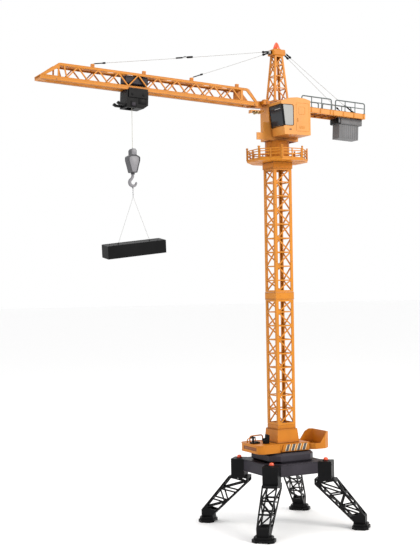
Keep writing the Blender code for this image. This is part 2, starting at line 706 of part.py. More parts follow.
def tower_head():
    low, high = HEAD_DECK_TOP + GAP, HEAD_TOP
    frame = add("tower_head_frame", frustum(low, high, HEAD_FOOT_HALF, HEAD_TOP_HALF), ORANGE)
    wall, bar, beyond = 0.0028, 0.0012, 0.01
    lean = (HEAD_FOOT_HALF - HEAD_TOP_HALF) / (high - low)
    room = frustum(low - beyond, high + beyond, HEAD_FOOT_HALF - wall + beyond * lean,
                   HEAD_TOP_HALF - wall - beyond * lean)
    heights = [low + 0.0025, 1.1556, 1.1880, 1.2194, high - 0.0025]
    halves = [HEAD_FOOT_HALF - (z - low) * lean - 0.0040 for z in heights]
    left = [(-half, z) for half, z in zip(halves, heights)]
    right = [(half, z) for half, z in zip(halves, heights)]
    windows = braced_bays(left, right, bar, 1)
    cut(frame, room, group([plate_mesh([w], "XZ", -0.04, 0.04) for w in windows]),
        group([plate_mesh([w], "YZ", -0.04, 0.04) for w in windows]))
    box("head_block", (-0.0193, -0.0155, high + GAP), (0.0193, 0.0155, HEAD_BLOCK_TOP), ORANGE, 0.002)
    lamp = [(0, HEIGHT), (0.0022, HEIGHT - 0.0006), (0.0046, HEIGHT - 0.0036), (0.0080, HEIGHT - 0.0120),
            (0.0092, HEIGHT - 0.0160), (0.0092, HEAD_BLOCK_TOP + GAP), (0, HEAD_BLOCK_TOP + GAP)]
    turned("beacon", lamp, RED, Matrix(), 24)
    carry(Matrix.Translation((HEAD_X, 0, 0)), "tower_head_frame", "head_block", "beacon")


# ---------------------------------------------------------------- jib
def jib():
    foot = JIB_RAIL_TOP + GAP
    chord_low, chord_high, bar = foot + 0.0043, JIB_TOP - 0.0062, JIB_BAR
    inner_shoulder, outer_shoulder = JIB_SHOULDERS
    outline = [(JIB_ROOT, foot), (JIB_ROOT, JIB_END_TOP), (inner_shoulder, JIB_TOP),
               (outer_shoulder, JIB_TOP), (JIB_TIP, JIB_END_TOP), (JIB_TIP, foot)]
    nodes = []
    for k in range(JIB_BAYS + 1):
        nodes.append((JIB_FIRST_NODE - k * JIB_BAY, chord_low - bar))
        nodes.append((JIB_FIRST_NODE - (k + 0.5) * JIB_BAY, chord_high + bar))
    nodes = nodes[:-1]
    windows = zigzag(nodes, bar)
    post = JIB_FIRST_NODE + 0.0045
    windows.append(inset([nodes[0], (nodes[0][0], chord_high + bar), nodes[1]], bar))
    opening = inset([(post, chord_low), (JIB_ROOT - 0.0090, chord_low),
                     (inner_shoulder - 0.0030, chord_high), (post, chord_high)], 0.0005)
    # the nose: an open triangle, a post, and a steep bar down from the shoulder to the last node
    post, crown, last = outer_shoulder - 0.0015, outer_shoulder + 0.0110, nodes[-1]
    windows.append(inset([(post - bar, chord_low), (post - bar, chord_low + 0.0213),
                          (JIB_TIP + 0.0110, chord_low)], 0.0008))
    windows.append(inset([(post, last[1]), last, (crown, chord_high + bar),
                          (post, chord_high + bar)], bar))
    windows.append(inset([(crown, chord_high + bar), nodes[-2], last], bar))
    for name, side in (("jib_frame_near", 1), ("jib_frame_far", -1)):
        low, high = sorted((side * JIB_HALF, side * (JIB_HALF - JIB_PLATE)))
        plate(name, [outline] + windows + ([opening] if side > 0 else []), "XZ", low, high, ORANGE)

    beam = rectangle(JIB_TIP, -JIB_HALF, JIB_ROOT, JIB_HALF)
    slot = rectangle(JIB_TIP + 0.020, -JIB_SLOT, -0.1000, JIB_SLOT)
    rails = plate("jib_rails", [beam, slot], "XY", JIB_BOTTOM, JIB_RAIL_TOP, ORANGE)
    cut(rails, box_mesh((-0.0900, -JIB_SLOT, JIB_BOTTOM - 0.01), (JIB_ROOT + 0.01, JIB_SLOT, JIB_TOP)),
        drum_mesh((ROOT_PIN[0], 0, ROOT_PIN[1]), 0.0020, 0.08, along="Y", sides=12))

    inner = JIB_HALF - JIB_PLATE - GAP
    top, width = JIB_TOP - 0.0003, inner - 0.0045
    start = inner_shoulder - 0.0060
    edge = [(start - 0.0010 - k * JIB_BAY / 2, width if k % 2 else -width) for k in range(19)]
    gaps = [w for w in zigzag(edge, bar)
            if not any(min(w)[0] < x + 0.006 and max(w)[0] > x - 0.006 for x in LUG_X)]
    rim = rectangle(outer_shoulder + 0.0020, -inner, start, inner)
    strip = plate("jib_top_frame", [rim] + gaps, "XY", JIB_TOP - 0.0035, top, ORANGE)
    for x in LUG_X:
        join(strip, box_mesh((x - 0.0040, -0.0035, JIB_TOP - 0.0020),
                             (x + 0.0040, 0.0035, JIB_TOP + LUG_HEIGHT)))
    for step in strip.modifiers:
        step.solver = "MANIFOLD"
    nose_x = (JIB_TIP - 0.002, JIB_TIP + 0.0100)
    nose = [(nose_x[0], foot), (nose_x[1], foot), (nose_x[1], JIB_END_TOP + 0.0020),
            (nose_x[0], JIB_END_TOP - 0.0015)]
    plate("jib_nose", [nose], "XZ", -inner, inner, ORANGE)
    carry(CLIMB, "jib_frame_near", "jib_frame_far", "jib_rails", "jib_top_frame", "jib_nose")


def counter_jib():
    z0, z1 = COUNTER_Z
    frame = box("counter_jib_deck", (COUNTER_FRONT, -COUNTER_HALF, z0),
                (COUNTER_REAR, COUNTER_HALF, z1), ORANGE)
    room = COUNTER_HALF - 0.0040
    cut(frame, box_mesh((COUNTER_FRONT + 0.004, -room, z0 - 0.01),
                        (COUNTER_REAR - 0.004, room, z1 - 0.004)))
    sill, rail_z, radius = z1 + GAP, COUNTER_RAIL_Z, 0.0019
    level = (sill + rail_z) / 2 - 0.0015
    x0, x1, x2, x3 = 0.0570, 0.1555, 0.1653, 0.2650
    rim = rounded([(x0, sill), (x3, sill), (x3, rail_z), (x2, rail_z), (x2, sill + 0.0025),
                   (x1, sill + 0.0025), (x1, rail_z), (x0, rail_z)],
                  [0, 0, 0.004, 0.004, 0, 0, 0.004, 0.004])
    panes = []
    for a, b in ((x0, x1), (x2, x3)):
        posts = [a + (b - a) * k / 3 for k in range(4)]
        for left, right in zip(posts[:-1], posts[1:]):
            low_x = left + (radius if left == a else radius / 2)
            high_x = right - (radius if right == b else radius / 2)
            for low, high in ((sill + 0.0025, level - 0.0009), (level + 0.0009, rail_z - radius)):
                panes.append(rectangle(low_x, low, high_x, high))
    edge = COUNTER_HALF - 0.0015
    for name, y in (("counter_railing_near", edge), ("counter_railing_far", -edge)):
        plate(name, [rim] + panes, "XZ", y - 0.001, y + 0.001, RAILING)

    top = z0 - GAP
    weight = box("counterweight", (0.1872, -0.0185, top - 0.0165), (0.2650, 0.0185, top), GREY)
    join(weight, box_mesh((0.1918, -0.0158, 1.0412), (0.2555, 0.0158, top - 0.007)))
    carry(CLIMB, "counter_jib_deck", "counter_railing_near", "counter_railing_far", "counterweight")


def guys():
    """Two taut wires each way from the head block, joined there by a clip."""
    clip_z = 1.2510
    for name, side in (("front_guys", -1), ("rear_guys", 1)):
        low, high = sorted((HEAD_X + side * 0.0196, HEAD_X + side * 0.0262))
        clip = box(name, (low, -0.0070, clip_z - 0.0035), (high, 0.0070, clip_z + 0.0035), STEEL)
        for row in (-1, 1):
            if side < 0:
                start = Vector((low + 0.001, 0, clip_z + row * 0.0018))
                end = raised(LUG_X[0 if row > 0 else 2] + 0.0010, JIB_TOP + LUG_HEIGHT + 0.0013)
            else:
                start = Vector((high - 0.001, row * 0.0050, clip_z))
                end = raised(0.2330, COUNTER_Z[1] + 0.0012, row * 0.0210)
            join(clip, tube_mesh(sagging(start, end, 0.001), 0.0006))


def tube_mesh(run, radius):
    """A thin bar of six sides along a run of points, as a mesh."""
    obj = tube("bar", [run], radius, STEEL, 1)
    mesh = as_mesh(obj)
    bpy.data.objects.remove(obj, do_unlink=True)
    return mesh


def sagging(start, end, sag, count=9):
    points = []
    for k in range(count):
        share = k / (count - 1)
        points.append(start.lerp(end, share) - Vector((0, 0, 4 * sag * share * (1 - share))))
    return points


# ---------------------------------------------------------------- trolley, hook and load
def trolley():
    x0, x1 = TROLLEY_X
    z0, z1 = TROLLEY_Z
    half = TROLLEY_HALF
    side_view = [(x0, z1), (x0, z0), (x1 - 0.012, z0), (x1, z0 + 0.009), (x1, z1)]
    body = plate("trolley_body", [side_view], "XZ", -half, half, BLACK)
    neck = JIB_SLOT - 0.0028
    top = JIB_RAIL_TOP + 0.0095
    join(body, box_mesh((x0 + 0.003, -neck, z1 - 0.002), (x1 - 0.003, neck, top)))
    for side in (-1, 1):
        low, high = sorted((side * (half - 0.002), side * (JIB_HALF + 0.0035)))
        outer = sorted((side * (JIB_HALF + 0.0007), side * (JIB_HALF + 0.0035)))
        join(body, box_mesh((x0 + 0.0045, low, z1 - 0.0175), (x1 - 0.0028, high, z1 - 0.0030)),
             box_mesh((x0 + 0.0045, outer[0], z1 - 0.0100), (x1 - 0.0028, outer[1], z1 + 0.0050)))
    spool = CLIMB.inverted() @ Vector((ROPE_X - WINCH_RADIUS - 0.001, 0, WINCH_Z))
    rope_x = spool.x + WINCH_RADIUS + 0.001
    cut(body, box_mesh((spool.x - 0.0100, -half + 0.005, z0 - 0.01),
                       (rope_x + 0.0036, half - 0.005, z1 - 0.0065)),
        drum_mesh(spool, 0.0022, 2 * half - 0.003, along="Y", sides=16))
    place = Matrix.Translation(spool)
    drum = add("winch_drum", drum_mesh((0, 0, 0), WINCH_RADIUS, 0.026, along="Y", sides=20), DARK, place)
    join_there(drum, drum_mesh((0, 0, 0), 0.0018, 2 * half - 0.005, along="Y", sides=12), place)
    wheel_z = JIB_RAIL_TOP + GAP + WHEEL_RADIUS
    for name, x in (("trolley_axle_front", x0 + 0.0110), ("trolley_axle_rear", x1 - 0.0110)):
        cut(body, drum_mesh((x, 0, wheel_z), 0.0014, 0.03, along="Y", sides=12))
        place = Matrix.Translation((x, 0, wheel_z))
        axle = add(name, drum_mesh((0, 0, 0), 0.0011, 0.029, along="Y", sides=12), DARK, place)
        for y in (-0.0115, 0.0115):
            join_there(axle, drum_mesh((0, y, 0), WHEEL_RADIUS, 0.0045, along="Y", sides=20), place)
    cover = box("trolley_motor_cover", (x0 - 0.0040, -0.0150, top + GAP),
                (x1 + 0.0020, 0.0150, JIB_TOP - 0.0068), DARK)
    soften(cover, 0.003)
    carry(CLIMB, "trolley_body", "winch_drum", "trolley_axle_front", "trolley_axle_rear",
          "trolley_motor_cover")


def join_there(obj, mesh, place):
    """Joins a mesh given in the space of an object that stands at a place."""
    join(obj, mesh)
    obj.modifiers[-1].object.matrix_local = place


def hoist():
    low, high = HOOK_BLOCK
    start, end = WINCH_Z, high + GAP
    count = 12
    runs = [[(ROPE_X, 0, start + (end - start) * k / (count - 1)) for k in range(count)]]
    tube("hoist_rope", runs, ROPE_RADIUS, BLACK, 2)

    half, neck, foot = 0.0160, 0.0085, 0.0080
    shoulder, waist, cap = high - 0.0165, high - 0.0330, 0.0070
    shield = [(-foot, low), (foot, low), (half - 0.0030, waist - 0.006), (half, waist + 0.004),
              (half, shoulder - 0.004), (neck, shoulder), (cap, shoulder + 0.002), (cap, high - 0.004),
              (0.0040, high), (-0.0040, high), (-cap, high - 0.004), (-cap, shoulder + 0.002),
              (-neck, shoulder), (-half, shoulder - 0.004), (-half, waist + 0.004),
              (-half + 0.0030, waist - 0.006)]
    block = plate("hook_block", [[(ROPE_X + x, z) for x, z in shield]], "XZ", -0.0095, 0.0095, GREY)
    cut(block, drum_mesh((ROPE_X, 0, low), HOOK_WIRE + 0.0006, 0.020, sides=16))

    drop = low - HOOK_BOWL_Z
    run = [(0, 0, drop + 0.0085), (0, 0, drop - 0.0035), (-0.0006, 0, HOOK_BOWL_RADIUS + 0.0048)]
    for k in range(15):
        turn = math.radians(118 + 238 * k / 14)
        run.append((HOOK_BOWL_RADIUS * math.cos(turn), 0, HOOK_BOWL_RADIUS * math.sin(turn)))
    tube("hook", [run], HOOK_WIRE, GREY, 2)
    bpy.data.objects["hook"].matrix_local = Matrix.Translation((ROPE_X, 0, HOOK_BOWL_Z))


def load():
    length, width, height = BEAM_SIZE
    hang = (Matrix.Translation(BEAM_MIDDLE) @ Matrix.Rotation(-BEAM_TILT, 4, "Y")
            @ Matrix.Rotation(BEAM_ROLL, 4, "X"))
    half, wall = Vector((length, width, height)) / 2, 0.002
    beam = add("load_beam", box_mesh(-half, half), BLACK, hang)
    room = box_mesh(-half + Vector((wall, wall, -0.01)), half - Vector((wall, wall, wall)))
    cut(beam, room)
    beam.modifiers[-1].object.matrix_local = hang
    ring = HOOK_BOWL_Z - HOOK_BOWL_RADIUS - HOOK_WIRE - GAP
    wire = 0.0005
    chain = drum_mesh((ROPE_X, 0, (ring + SLING_JOIN_Z) / 2), 0.0014, ring - SLING_JOIN_Z, sides=8)
    sling = add("load_sling", chain, STEEL)
    for side in (-1, 1):
        begin = Vector((ROPE_X, 0, SLING_JOIN_Z + 0.0010))
        finish = hang @ Vector((side * SLING_SPREAD, 0, height / 2 + 0.0012))
        join(sling, tube_mesh([begin.lerp(finish, k / 4) for k in range(5)], wire))


# ---------------------------------------------------------------- the crane
base()
gears()
for where, (sx, sy) in LEGS.items():
    leg("leg_" + where, sx, sy)
    lock_button("lock_button_" + where, sx, sy)
deck()
socket()
mast()
platform()
turret()
cab()
tower_head()
jib()
counter_jib()
guys()
trolley()
hoist()
load()
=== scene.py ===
"""Looks of the toy tower crane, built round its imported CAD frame.

Everything is in metres in the row frame: +Z up, the jib towards -X and the cab towards -Y.
Local points are measured from the slewing axis. Points on the jib and counter-jib are drawn
on a level jib, and CLIMB raises them with it."""

import math

import bmesh
import bpy
from mathutils import Matrix, Vector


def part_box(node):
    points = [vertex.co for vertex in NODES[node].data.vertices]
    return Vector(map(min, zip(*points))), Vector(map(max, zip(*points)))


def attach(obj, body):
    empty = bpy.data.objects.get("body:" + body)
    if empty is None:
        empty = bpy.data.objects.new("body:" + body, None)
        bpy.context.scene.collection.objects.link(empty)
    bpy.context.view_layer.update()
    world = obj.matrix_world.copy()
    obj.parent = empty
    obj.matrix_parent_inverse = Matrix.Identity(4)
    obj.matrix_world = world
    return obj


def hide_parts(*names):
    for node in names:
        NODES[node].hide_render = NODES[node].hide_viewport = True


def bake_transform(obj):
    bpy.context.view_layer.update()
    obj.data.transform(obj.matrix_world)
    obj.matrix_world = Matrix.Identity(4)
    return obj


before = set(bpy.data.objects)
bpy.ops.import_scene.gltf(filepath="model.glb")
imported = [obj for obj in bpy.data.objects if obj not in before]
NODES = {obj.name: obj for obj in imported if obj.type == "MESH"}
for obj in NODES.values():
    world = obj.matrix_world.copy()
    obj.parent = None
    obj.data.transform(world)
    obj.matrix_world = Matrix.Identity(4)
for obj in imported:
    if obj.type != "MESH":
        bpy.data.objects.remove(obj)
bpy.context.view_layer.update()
scene = bpy.context.scene

drum_low, drum_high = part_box("slewing_drum")
AXIS_X = (drum_low.x + drum_high.x) / 2
LEVEL = Matrix.Translation((AXIS_X, 0, 0))
RISE, RISE_Z = math.radians(2.62), 1.100
CLIMB = (LEVEL @ Matrix.Translation((0, 0, RISE_Z)) @ Matrix.Rotation(RISE, 4, "Y")
         @ Matrix.Translation((0, 0, -RISE_Z)))
DIAGONALS = {"jib_near": (-1, -1), "jib_far": (-1, 1), "tail_near": (1, -1), "tail_far": (1, 1)}


# ---------------------------------------------------------------- materials
def node(tree, kind, **values):
    made = tree.nodes.new(kind)
    for key, value in values.items():
        if key in made.inputs:
            made.inputs[key].default_value = value
        else:
            setattr(made, key, value)
    return made


def ramp(tree, source, stops):
    made = node(tree, "ShaderNodeValToRGB")
    elements = made.color_ramp.elements
    while len(elements) < len(stops):
        elements.new(0.5)
    for element, (position, color) in zip(elements, stops):
        element.position = position
        element.color = (*color, 1) if len(color) == 3 else color
    tree.links.new(source, made.inputs["Fac"])
    return made.outputs["Color"]


def mix(tree, fac, one, two, blend="MIX"):
    made = node(tree, "ShaderNodeMix", data_type="RGBA", blend_type=blend)
    for socket, value in ((made.inputs[0], fac), (made.inputs[6], one), (made.inputs[7], two)):
        if isinstance(value, bpy.types.NodeSocket):
            tree.links.new(value, socket)
        else:
            socket.default_value = value if isinstance(value, float) else (*value, 1)
    return made.outputs[2]


def grey(value):
    return (value, value, value)


def surface(name, base, shade_color, pale, rough=(0.32, 0.48), grain=900.0, bump=0.05, reach=0.012,
            wear=0.5, metallic=0.0, specular=0.5, coat=0.0, edge=0.0006, mottle=0.06):
    """Moulded plastic or metal: mottled colour, painted shade in recesses, pale rubbed edges and a fine
    grain.
    """
    mat = bpy.data.materials.new(name)
    mat.use_nodes = True
    tree = mat.node_tree
    link = tree.links.new
    shader = tree.nodes["Principled BSDF"]
    shader.inputs["Metallic"].default_value = metallic
    shader.inputs["Specular IOR Level"].default_value = specular
    shader.inputs["Coat Weight"].default_value = coat
    shader.inputs["Coat Roughness"].default_value = 0.18
    place = node(tree, "ShaderNodeTexCoord").outputs["Object"]

    clouds = node(tree, "ShaderNodeTexNoise", Scale=26.0, Detail=3.0, Roughness=0.55)
    link(place, clouds.inputs["Vector"])
    lighter = tuple(min(1.0, c * (1 + mottle)) for c in base)
    darker = tuple(c * (1 - mottle) for c in base)
    color = ramp(tree, clouds.outputs["Fac"], [(0.32, darker), (0.5, base), (0.68, lighter)])

    # painted shade: ambient occlusion darkens recesses and gaps towards the shade colour
    occlusion = node(tree, "ShaderNodeAmbientOcclusion", samples=6, Distance=reach)
    shade = ramp(tree, occlusion.outputs["AO"], [(0.25, grey(1.0)), (0.85, grey(0.0))])
    color = mix(tree, shade, color, shade_color)

    if wear:
        bevel = node(tree, "ShaderNodeBevel", samples=4, Radius=edge)
        facing = node(tree, "ShaderNodeVectorMath", operation="DOT_PRODUCT")
        link(bevel.outputs["Normal"], facing.inputs[0])
        link(node(tree, "ShaderNodeNewGeometry").outputs["Normal"], facing.inputs[1])
        rubbed = ramp(tree, facing.outputs["Value"], [(0.86, grey(wear)), (0.985, grey(0.0))])
        patchy = node(tree, "ShaderNodeTexNoise", Scale=140.0, Detail=2.0)
        link(place, patchy.inputs["Vector"])
        patches = ramp(tree, patchy.outputs["Fac"], [(0.40, grey(0.25)), (0.62, grey(1.0))])
        color = mix(tree, mix(tree, 1.0, rubbed, patches, "MULTIPLY"), color, pale)
    link(color, shader.inputs["Base Color"])

    sheen = node(tree, "ShaderNodeTexNoise", Scale=60.0, Detail=4.0)
    link(place, sheen.inputs["Vector"])
    spread = node(tree, "ShaderNodeMapRange")
    spread.inputs["To Min"].default_value, spread.inputs["To Max"].default_value = rough
    link(sheen.outputs["Fac"], spread.inputs["Value"])
    link(spread.outputs["Result"], shader.inputs["Roughness"])

    fine = node(tree, "ShaderNodeTexNoise", Scale=grain, Detail=2.0)
    link(place, fine.inputs["Vector"])
    raised = node(tree, "ShaderNodeBump", Strength=bump, Distance=0.0004)
    link(fine.outputs["Fac"], raised.inputs["Height"])
    link(raised.outputs["Normal"], shader.inputs["Normal"])
    return mat


def twisted(name, light, dark, pitch, metallic):
    """Wire rope or cord: slanting strands round a thin strand."""
    mat = bpy.data.materials.new(name)
    mat.use_nodes = True
    tree = mat.node_tree
    shader = tree.nodes["Principled BSDF"]
    shader.inputs["Metallic"].default_value = metallic
    shader.inputs["Roughness"].default_value = 0.42
    place = node(tree, "ShaderNodeTexCoord").outputs["Object"]
    wave = node(tree, "ShaderNodeTexWave", wave_type="BANDS", bands_direction="DIAGONAL",
                Scale=pitch, Distortion=0.6)
    tree.links.new(place, wave.inputs["Vector"])
    color = ramp(tree, wave.outputs["Fac"], [(0.2, dark), (0.75, light)])
    tree.links.new(color, shader.inputs["Base Color"])
    raised = node(tree, "ShaderNodeBump", Strength=0.5, Distance=0.0002)
    tree.links.new(wave.outputs["Fac"], raised.inputs["Height"])
    tree.links.new(raised.outputs["Normal"], shader.inputs["Normal"])
    return mat


# the second colour of each finish is the painted shade that fills its recesses
ORANGE = surface("orange_moulding", (0.55, 0.195, 0.012), (0.17, 0.035, 0.001), (0.80, 0.40, 0.12),
                 rough=(0.34, 0.5), reach=0.014, wear=0.55, specular=0.25)
# painted light: a lighter copy of the orange for parts whose faces are lit
LIT_ORANGE = surface("lit_orange_moulding", (0.60, 0.245, 0.045), (0.20, 0.045, 0.002), (0.82, 0.44, 0.16),
                rough=(0.30, 0.44), reach=0.010, wear=0.5, specular=0.35)
# painted shade: a darker copy of the orange for parts and faces that sit in shade
SHADED_ORANGE = surface("shaded_orange_moulding", (0.50, 0.165, 0.006), (0.15, 0.028, 0.001), (0.78, 0.36, 0.08),
                rough=(0.34, 0.5), reach=0.012, wear=0.5, specular=0.25)
# painted shadow: a dark brown for holes, slots, recesses and undersides that lie in shade
SHADOW_BROWN = surface("painted_shadow_brown", (0.20, 0.055, 0.003), (0.06, 0.012, 0.001), (0.42, 0.16, 0.03),
                rough=(0.4, 0.55), wear=0.3)
BLACK = surface("black_moulding", (0.0045, 0.0045, 0.005), (0.001, 0.001, 0.001),
                (0.045, 0.045, 0.048), rough=(0.34, 0.52), wear=0.5, mottle=0.2, bump=0.07,
                specular=0.10)
CHARCOAL = surface("charcoal_moulding", (0.032, 0.028, 0.036), (0.006, 0.005, 0.007),
                   (0.12, 0.11, 0.13), rough=(0.36, 0.55), wear=0.5, mottle=0.15, bump=0.07,
                   specular=0.15)
GREY = surface("grey_moulding", (0.20, 0.195, 0.21), (0.030, 0.028, 0.033), (0.40, 0.39, 0.41),
               rough=(0.36, 0.5), wear=0.5)
WEIGHT = surface("counterweight_grey", (0.115, 0.115, 0.12), (0.015, 0.015, 0.017),
                 (0.34, 0.34, 0.35), rough=(0.45, 0.62), wear=0.5, grain=420.0, bump=0.16,
                 mottle=0.18)
DARK_GREY = surface("dark_grey_moulding", (0.06, 0.058, 0.065), (0.012, 0.012, 0.014),
                    (0.20, 0.20, 0.21), rough=(0.4, 0.55), wear=0.5)
RED = surface("orange_red_gloss", (0.85, 0.085, 0.018), (0.30, 0.015, 0.003), (1.0, 0.30, 0.12),
              rough=(0.18, 0.30), wear=0.4, coat=0.4)
PANE = surface("side_pane_grey", (0.30, 0.30, 0.29), (0.16, 0.16, 0.16), (0.6, 0.6, 0.6),
               rough=(0.22, 0.32), wear=0.2, specular=0.25, mottle=0.03, bump=0.01)
SMOKED = surface("smoked_pane", (0.020, 0.022, 0.026), (0.004, 0.004, 0.005), (0.10, 0.10, 0.11),
                 rough=(0.16, 0.26), wear=0.2, specular=0.22, mottle=0.1, bump=0.01)
# painted reflection: a pale colour for the highlight on the windscreen
REFLECTION_WHITE = surface("pale_highlight_strip", (0.78, 0.79, 0.80), (0.3, 0.3, 0.3), (0.95, 0.95, 0.95),
                rough=(0.15, 0.25), wear=0.2, mottle=0.05)
RAILING = surface("railing_grey_green", (0.065, 0.085, 0.085), (0.014, 0.018, 0.018),
                  (0.20, 0.24, 0.24), rough=(0.3, 0.45), wear=0.3, mottle=0.12)
STEEL = surface("bright_steel", (0.55, 0.55, 0.56), (0.10, 0.10, 0.10), (0.85, 0.85, 0.86),
                rough=(0.22, 0.4), metallic=1.0, wear=0.4, grain=1500.0)
BRASS = surface("dull_brass", (0.34, 0.22, 0.09), (0.06, 0.035, 0.01), (0.65, 0.48, 0.24),
                rough=(0.3, 0.5), metallic=0.8, wear=0.5)
CREAM = surface("cream_paint", (0.80, 0.60, 0.34), (0.30, 0.16, 0.05), (0.95, 0.84, 0.62),
                rough=(0.35, 0.5), wear=0.3)
WIRE = twisted("twisted_steel_wire", (0.62, 0.62, 0.60), (0.22, 0.22, 0.22), 900.0, 0.7)
ROPE = twisted("twisted_pale_rope", (0.55, 0.54, 0.46), (0.26, 0.25, 0.20), 900.0, 0.0)


# ---------------------------------------------------------------- shapes, added to one bmesh
def curve_round(bm, edges, radius, steps=2):
    if radius > 0 and edges:
        bmesh.ops.bevel(bm, geom=edges, offset=radius, segments=steps, profile=0.5,
                        affect="EDGES", clamp_overlap=True)


def block(bm, low, high, radius=0.0005, turn=None, steps=2):
    """A box with rounded edges, turned about its own middle."""
    low, high = Vector(low), Vector(high)
    verts = bmesh.ops.create_cube(bm, size=1.0)["verts"]
    place = Matrix.Translation((low + high) / 2)
    if turn is not None:
        place = place @ turn
    size = high - low
    for vert in verts:
        vert.co = place @ Vector((vert.co.x * size.x, vert.co.y * size.y, vert.co.z * size.z))
    edges = list(dict.fromkeys(edge for vert in verts for edge in vert.link_edges))
    curve_round(bm, edges, min(radius, min(size) * 0.45), steps)


def aimed(direction):
    return Vector((0, 0, 1)).rotation_difference(Vector(direction)).to_matrix().to_4x4()


def rod(bm, start, end, radius, sides=20, edge=0.0, far=None):
    """A round bar or a cone between two points, with softened rims."""
    start, end = Vector(start), Vector(end)
    before = set(bm.verts)
    made = bmesh.ops.create_cone(bm, cap_ends=True, segments=sides, radius1=radius,
                                 radius2=radius if far is None else far,
                                 depth=(end - start).length)["verts"]
    caps = dict.fromkeys(rim for vert in made for face in vert.link_faces if len(face.verts) > 4
                         for rim in face.edges)
    curve_round(bm, list(caps), edge)
    place = Matrix.Translation((start + end) / 2) @ aimed(end - start)
    for vert in bm.verts:
        if vert not in before:
            vert.co = place @ vert.co


def lathe(bm, profile, place=None, sides=32):
    """Turns (radius, height) points about Z; a point on the axis closes the end."""
    rings = []
    for radius, height in profile:
        if radius < 1e-7:
            rings.append([bm.verts.new((0, 0, height))])
        else:
            rings.append([bm.verts.new((radius * math.cos(2 * math.pi * k / sides),
                                        radius * math.sin(2 * math.pi * k / sides), height))
                          for k in range(sides)])
    for one, two in zip(rings[:-1], rings[1:]):
        for k in range(sides):
            a, b = one[k % len(one)], one[(k + 1) % len(one)]
            c, d = two[(k + 1) % len(two)], two[k % len(two)]
            corners = []
            for vert in (a, b, c, d):
                if vert not in corners:
                    corners.append(vert)
            if len(corners) > 2:
                bm.faces.new(corners)
    if place is not None:
        for ring in rings:
            for vert in ring:
                vert.co = place @ vert.co


def tube(bm, points, radius, sides=10, closed=False):
    """A round tube along points; radius may be one number or one for each point."""
    points = [Vector(p) for p in points]
    count = len(points)
    radii = radius if isinstance(radius, (list, tuple)) else [radius] * count
    ahead = [(points[(k + 1) % count] - points[k]).normalized() for k in range(count)]
    if not closed:
        ahead[-1] = ahead[-2]
    along = []
    for k in range(count):
        before = ahead[k - 1] if (closed or k) else ahead[0]
        along.append((before + ahead[k]).normalized())
    side = along[0].orthogonal().normalized()
    rings = []
    for k, (point, way) in enumerate(zip(points, along)):
        if k:
            side = along[k - 1].rotation_difference(way) @ side
        up = way.cross(side).normalized()
        rings.append([bm.verts.new(point + radii[k] * (math.cos(2 * math.pi * n / sides) * side
                                                       + math.sin(2 * math.pi * n / sides) * up))
                      for n in range(sides)])
    if closed:
        last, first = rings[-1], rings[0]
        shift = min(range(sides), key=lambda s: (last[0].co - first[s].co).length)
        pairs = list(zip(rings[:-1], rings[1:])) + [(last, first[shift:] + first[:shift])]
    else:
        pairs = list(zip(rings[:-1], rings[1:]))
        bm.faces.new(rings[0][::-1])
        bm.faces.new(rings[-1])
    for one, two in pairs:
        for n in range(sides):
            bm.faces.new((one[n], one[(n + 1) % sides], two[(n + 1) % sides], two[n]))


def bent(points, radius, steps=5, closed=False):
    """The points with each corner turned into a curve of about that radius."""
    points = [Vector(p) for p in points]
    count = len(points)
    result = []
    for k, corner in enumerate(points):
        if not closed and k in (0, count - 1):
            result.append(corner)
            continue
        before, after = points[k - 1], points[(k + 1) % count]
        room = min((before - corner).length, (after - corner).length) * 0.45
        reach = min(radius, room)
        begin = corner + (before - corner).normalized() * reach
        end = corner + (after - corner).normalized() * reach
        for n in range(steps + 1):
            t = n / steps
            result.append(begin * (1 - t) ** 2 + corner * 2 * t * (1 - t) + end * t * t)
    return result


def slab(bm, outline, plane, low, high, radius=0.0004):
    """An outline pushed through along the axis its plane leaves out, with rounded rims."""
    axis = {"XY": 2, "XZ": 1, "YZ": 0}[plane]

    def at(point, depth):
        full = list(point)
        full.insert(axis, depth)
        return Vector(full)
    one = [bm.verts.new(at(p, low)) for p in outline]
    two = [bm.verts.new(at(p, high)) for p in outline]
    faces = [bm.faces.new(one), bm.faces.new(two[::-1])]
    for k in range(len(outline)):
        n = (k + 1) % len(outline)
        faces.append(bm.faces.new((one[n], one[k], two[k], two[n])))
    bmesh.ops.recalc_face_normals(bm, faces=faces)
    curve_round(bm, list(dict.fromkeys(edge for face in faces for edge in face.edges)), radius)


def dome(bm, centre, normal, radius, height=None, sides=14):
    """A low domed screw or rivet head on a face."""
    height = radius * 0.55 if height is None else height
    profile = [(0, height)] + [(radius * math.sin(a), height * math.cos(a))
                               for a in (0.45, 0.9, 1.3)] + [(radius, -0.0004), (0, -0.0004)]
    lathe(bm, profile, Matrix.Translation(centre) @ aimed(normal), sides)


def rectangle(x0, y0, x1, y1):
    return [(x0, y0), (x1, y0), (x1, y1), (x0, y1)]


def softened(outline, radius, steps=4):
    flat = bent([(x, y, 0) for x, y in outline], radius, steps, closed=True)
    return [(p.x, p.y) for p in flat]


def octagon(flats):
    radius = flats / 2 / math.cos(math.pi / 8)
    return [(radius * math.cos(math.pi / 8 + math.pi / 4 * k),
             radius * math.sin(math.pi / 8 + math.pi / 4 * k)) for k in range(8)]


FLAT = 1e-6  # a face whose points leave its plane by less than this is flat


def settled(bm, name):
    """The mesh with its points and faces in an order set by their places. Only a flat face starts at its
    lowest point, because another start would fold a bent face along its other diagonal."""
    bm.normal_update()
    points = [tuple(vert.co) for vert in bm.verts]
    bm.verts.index_update()
    kept = sorted(range(len(points)), key=lambda k: points[k])
    rank = {old: new for new, old in enumerate(kept)}
    faces = []
    for face in bm.faces:
        loop = [rank[vert.index] for vert in face.verts]
        start = face.verts[0].co
        flat = all(abs((vert.co - start).dot(face.normal)) < FLAT for vert in face.verts)
        first = loop.index(min(loop)) if flat else 0
        faces.append(loop[first:] + loop[:first])
    mesh = bpy.data.meshes.new(name)
    mesh.from_pydata([points[k] for k in kept], [], sorted(faces))
    return mesh


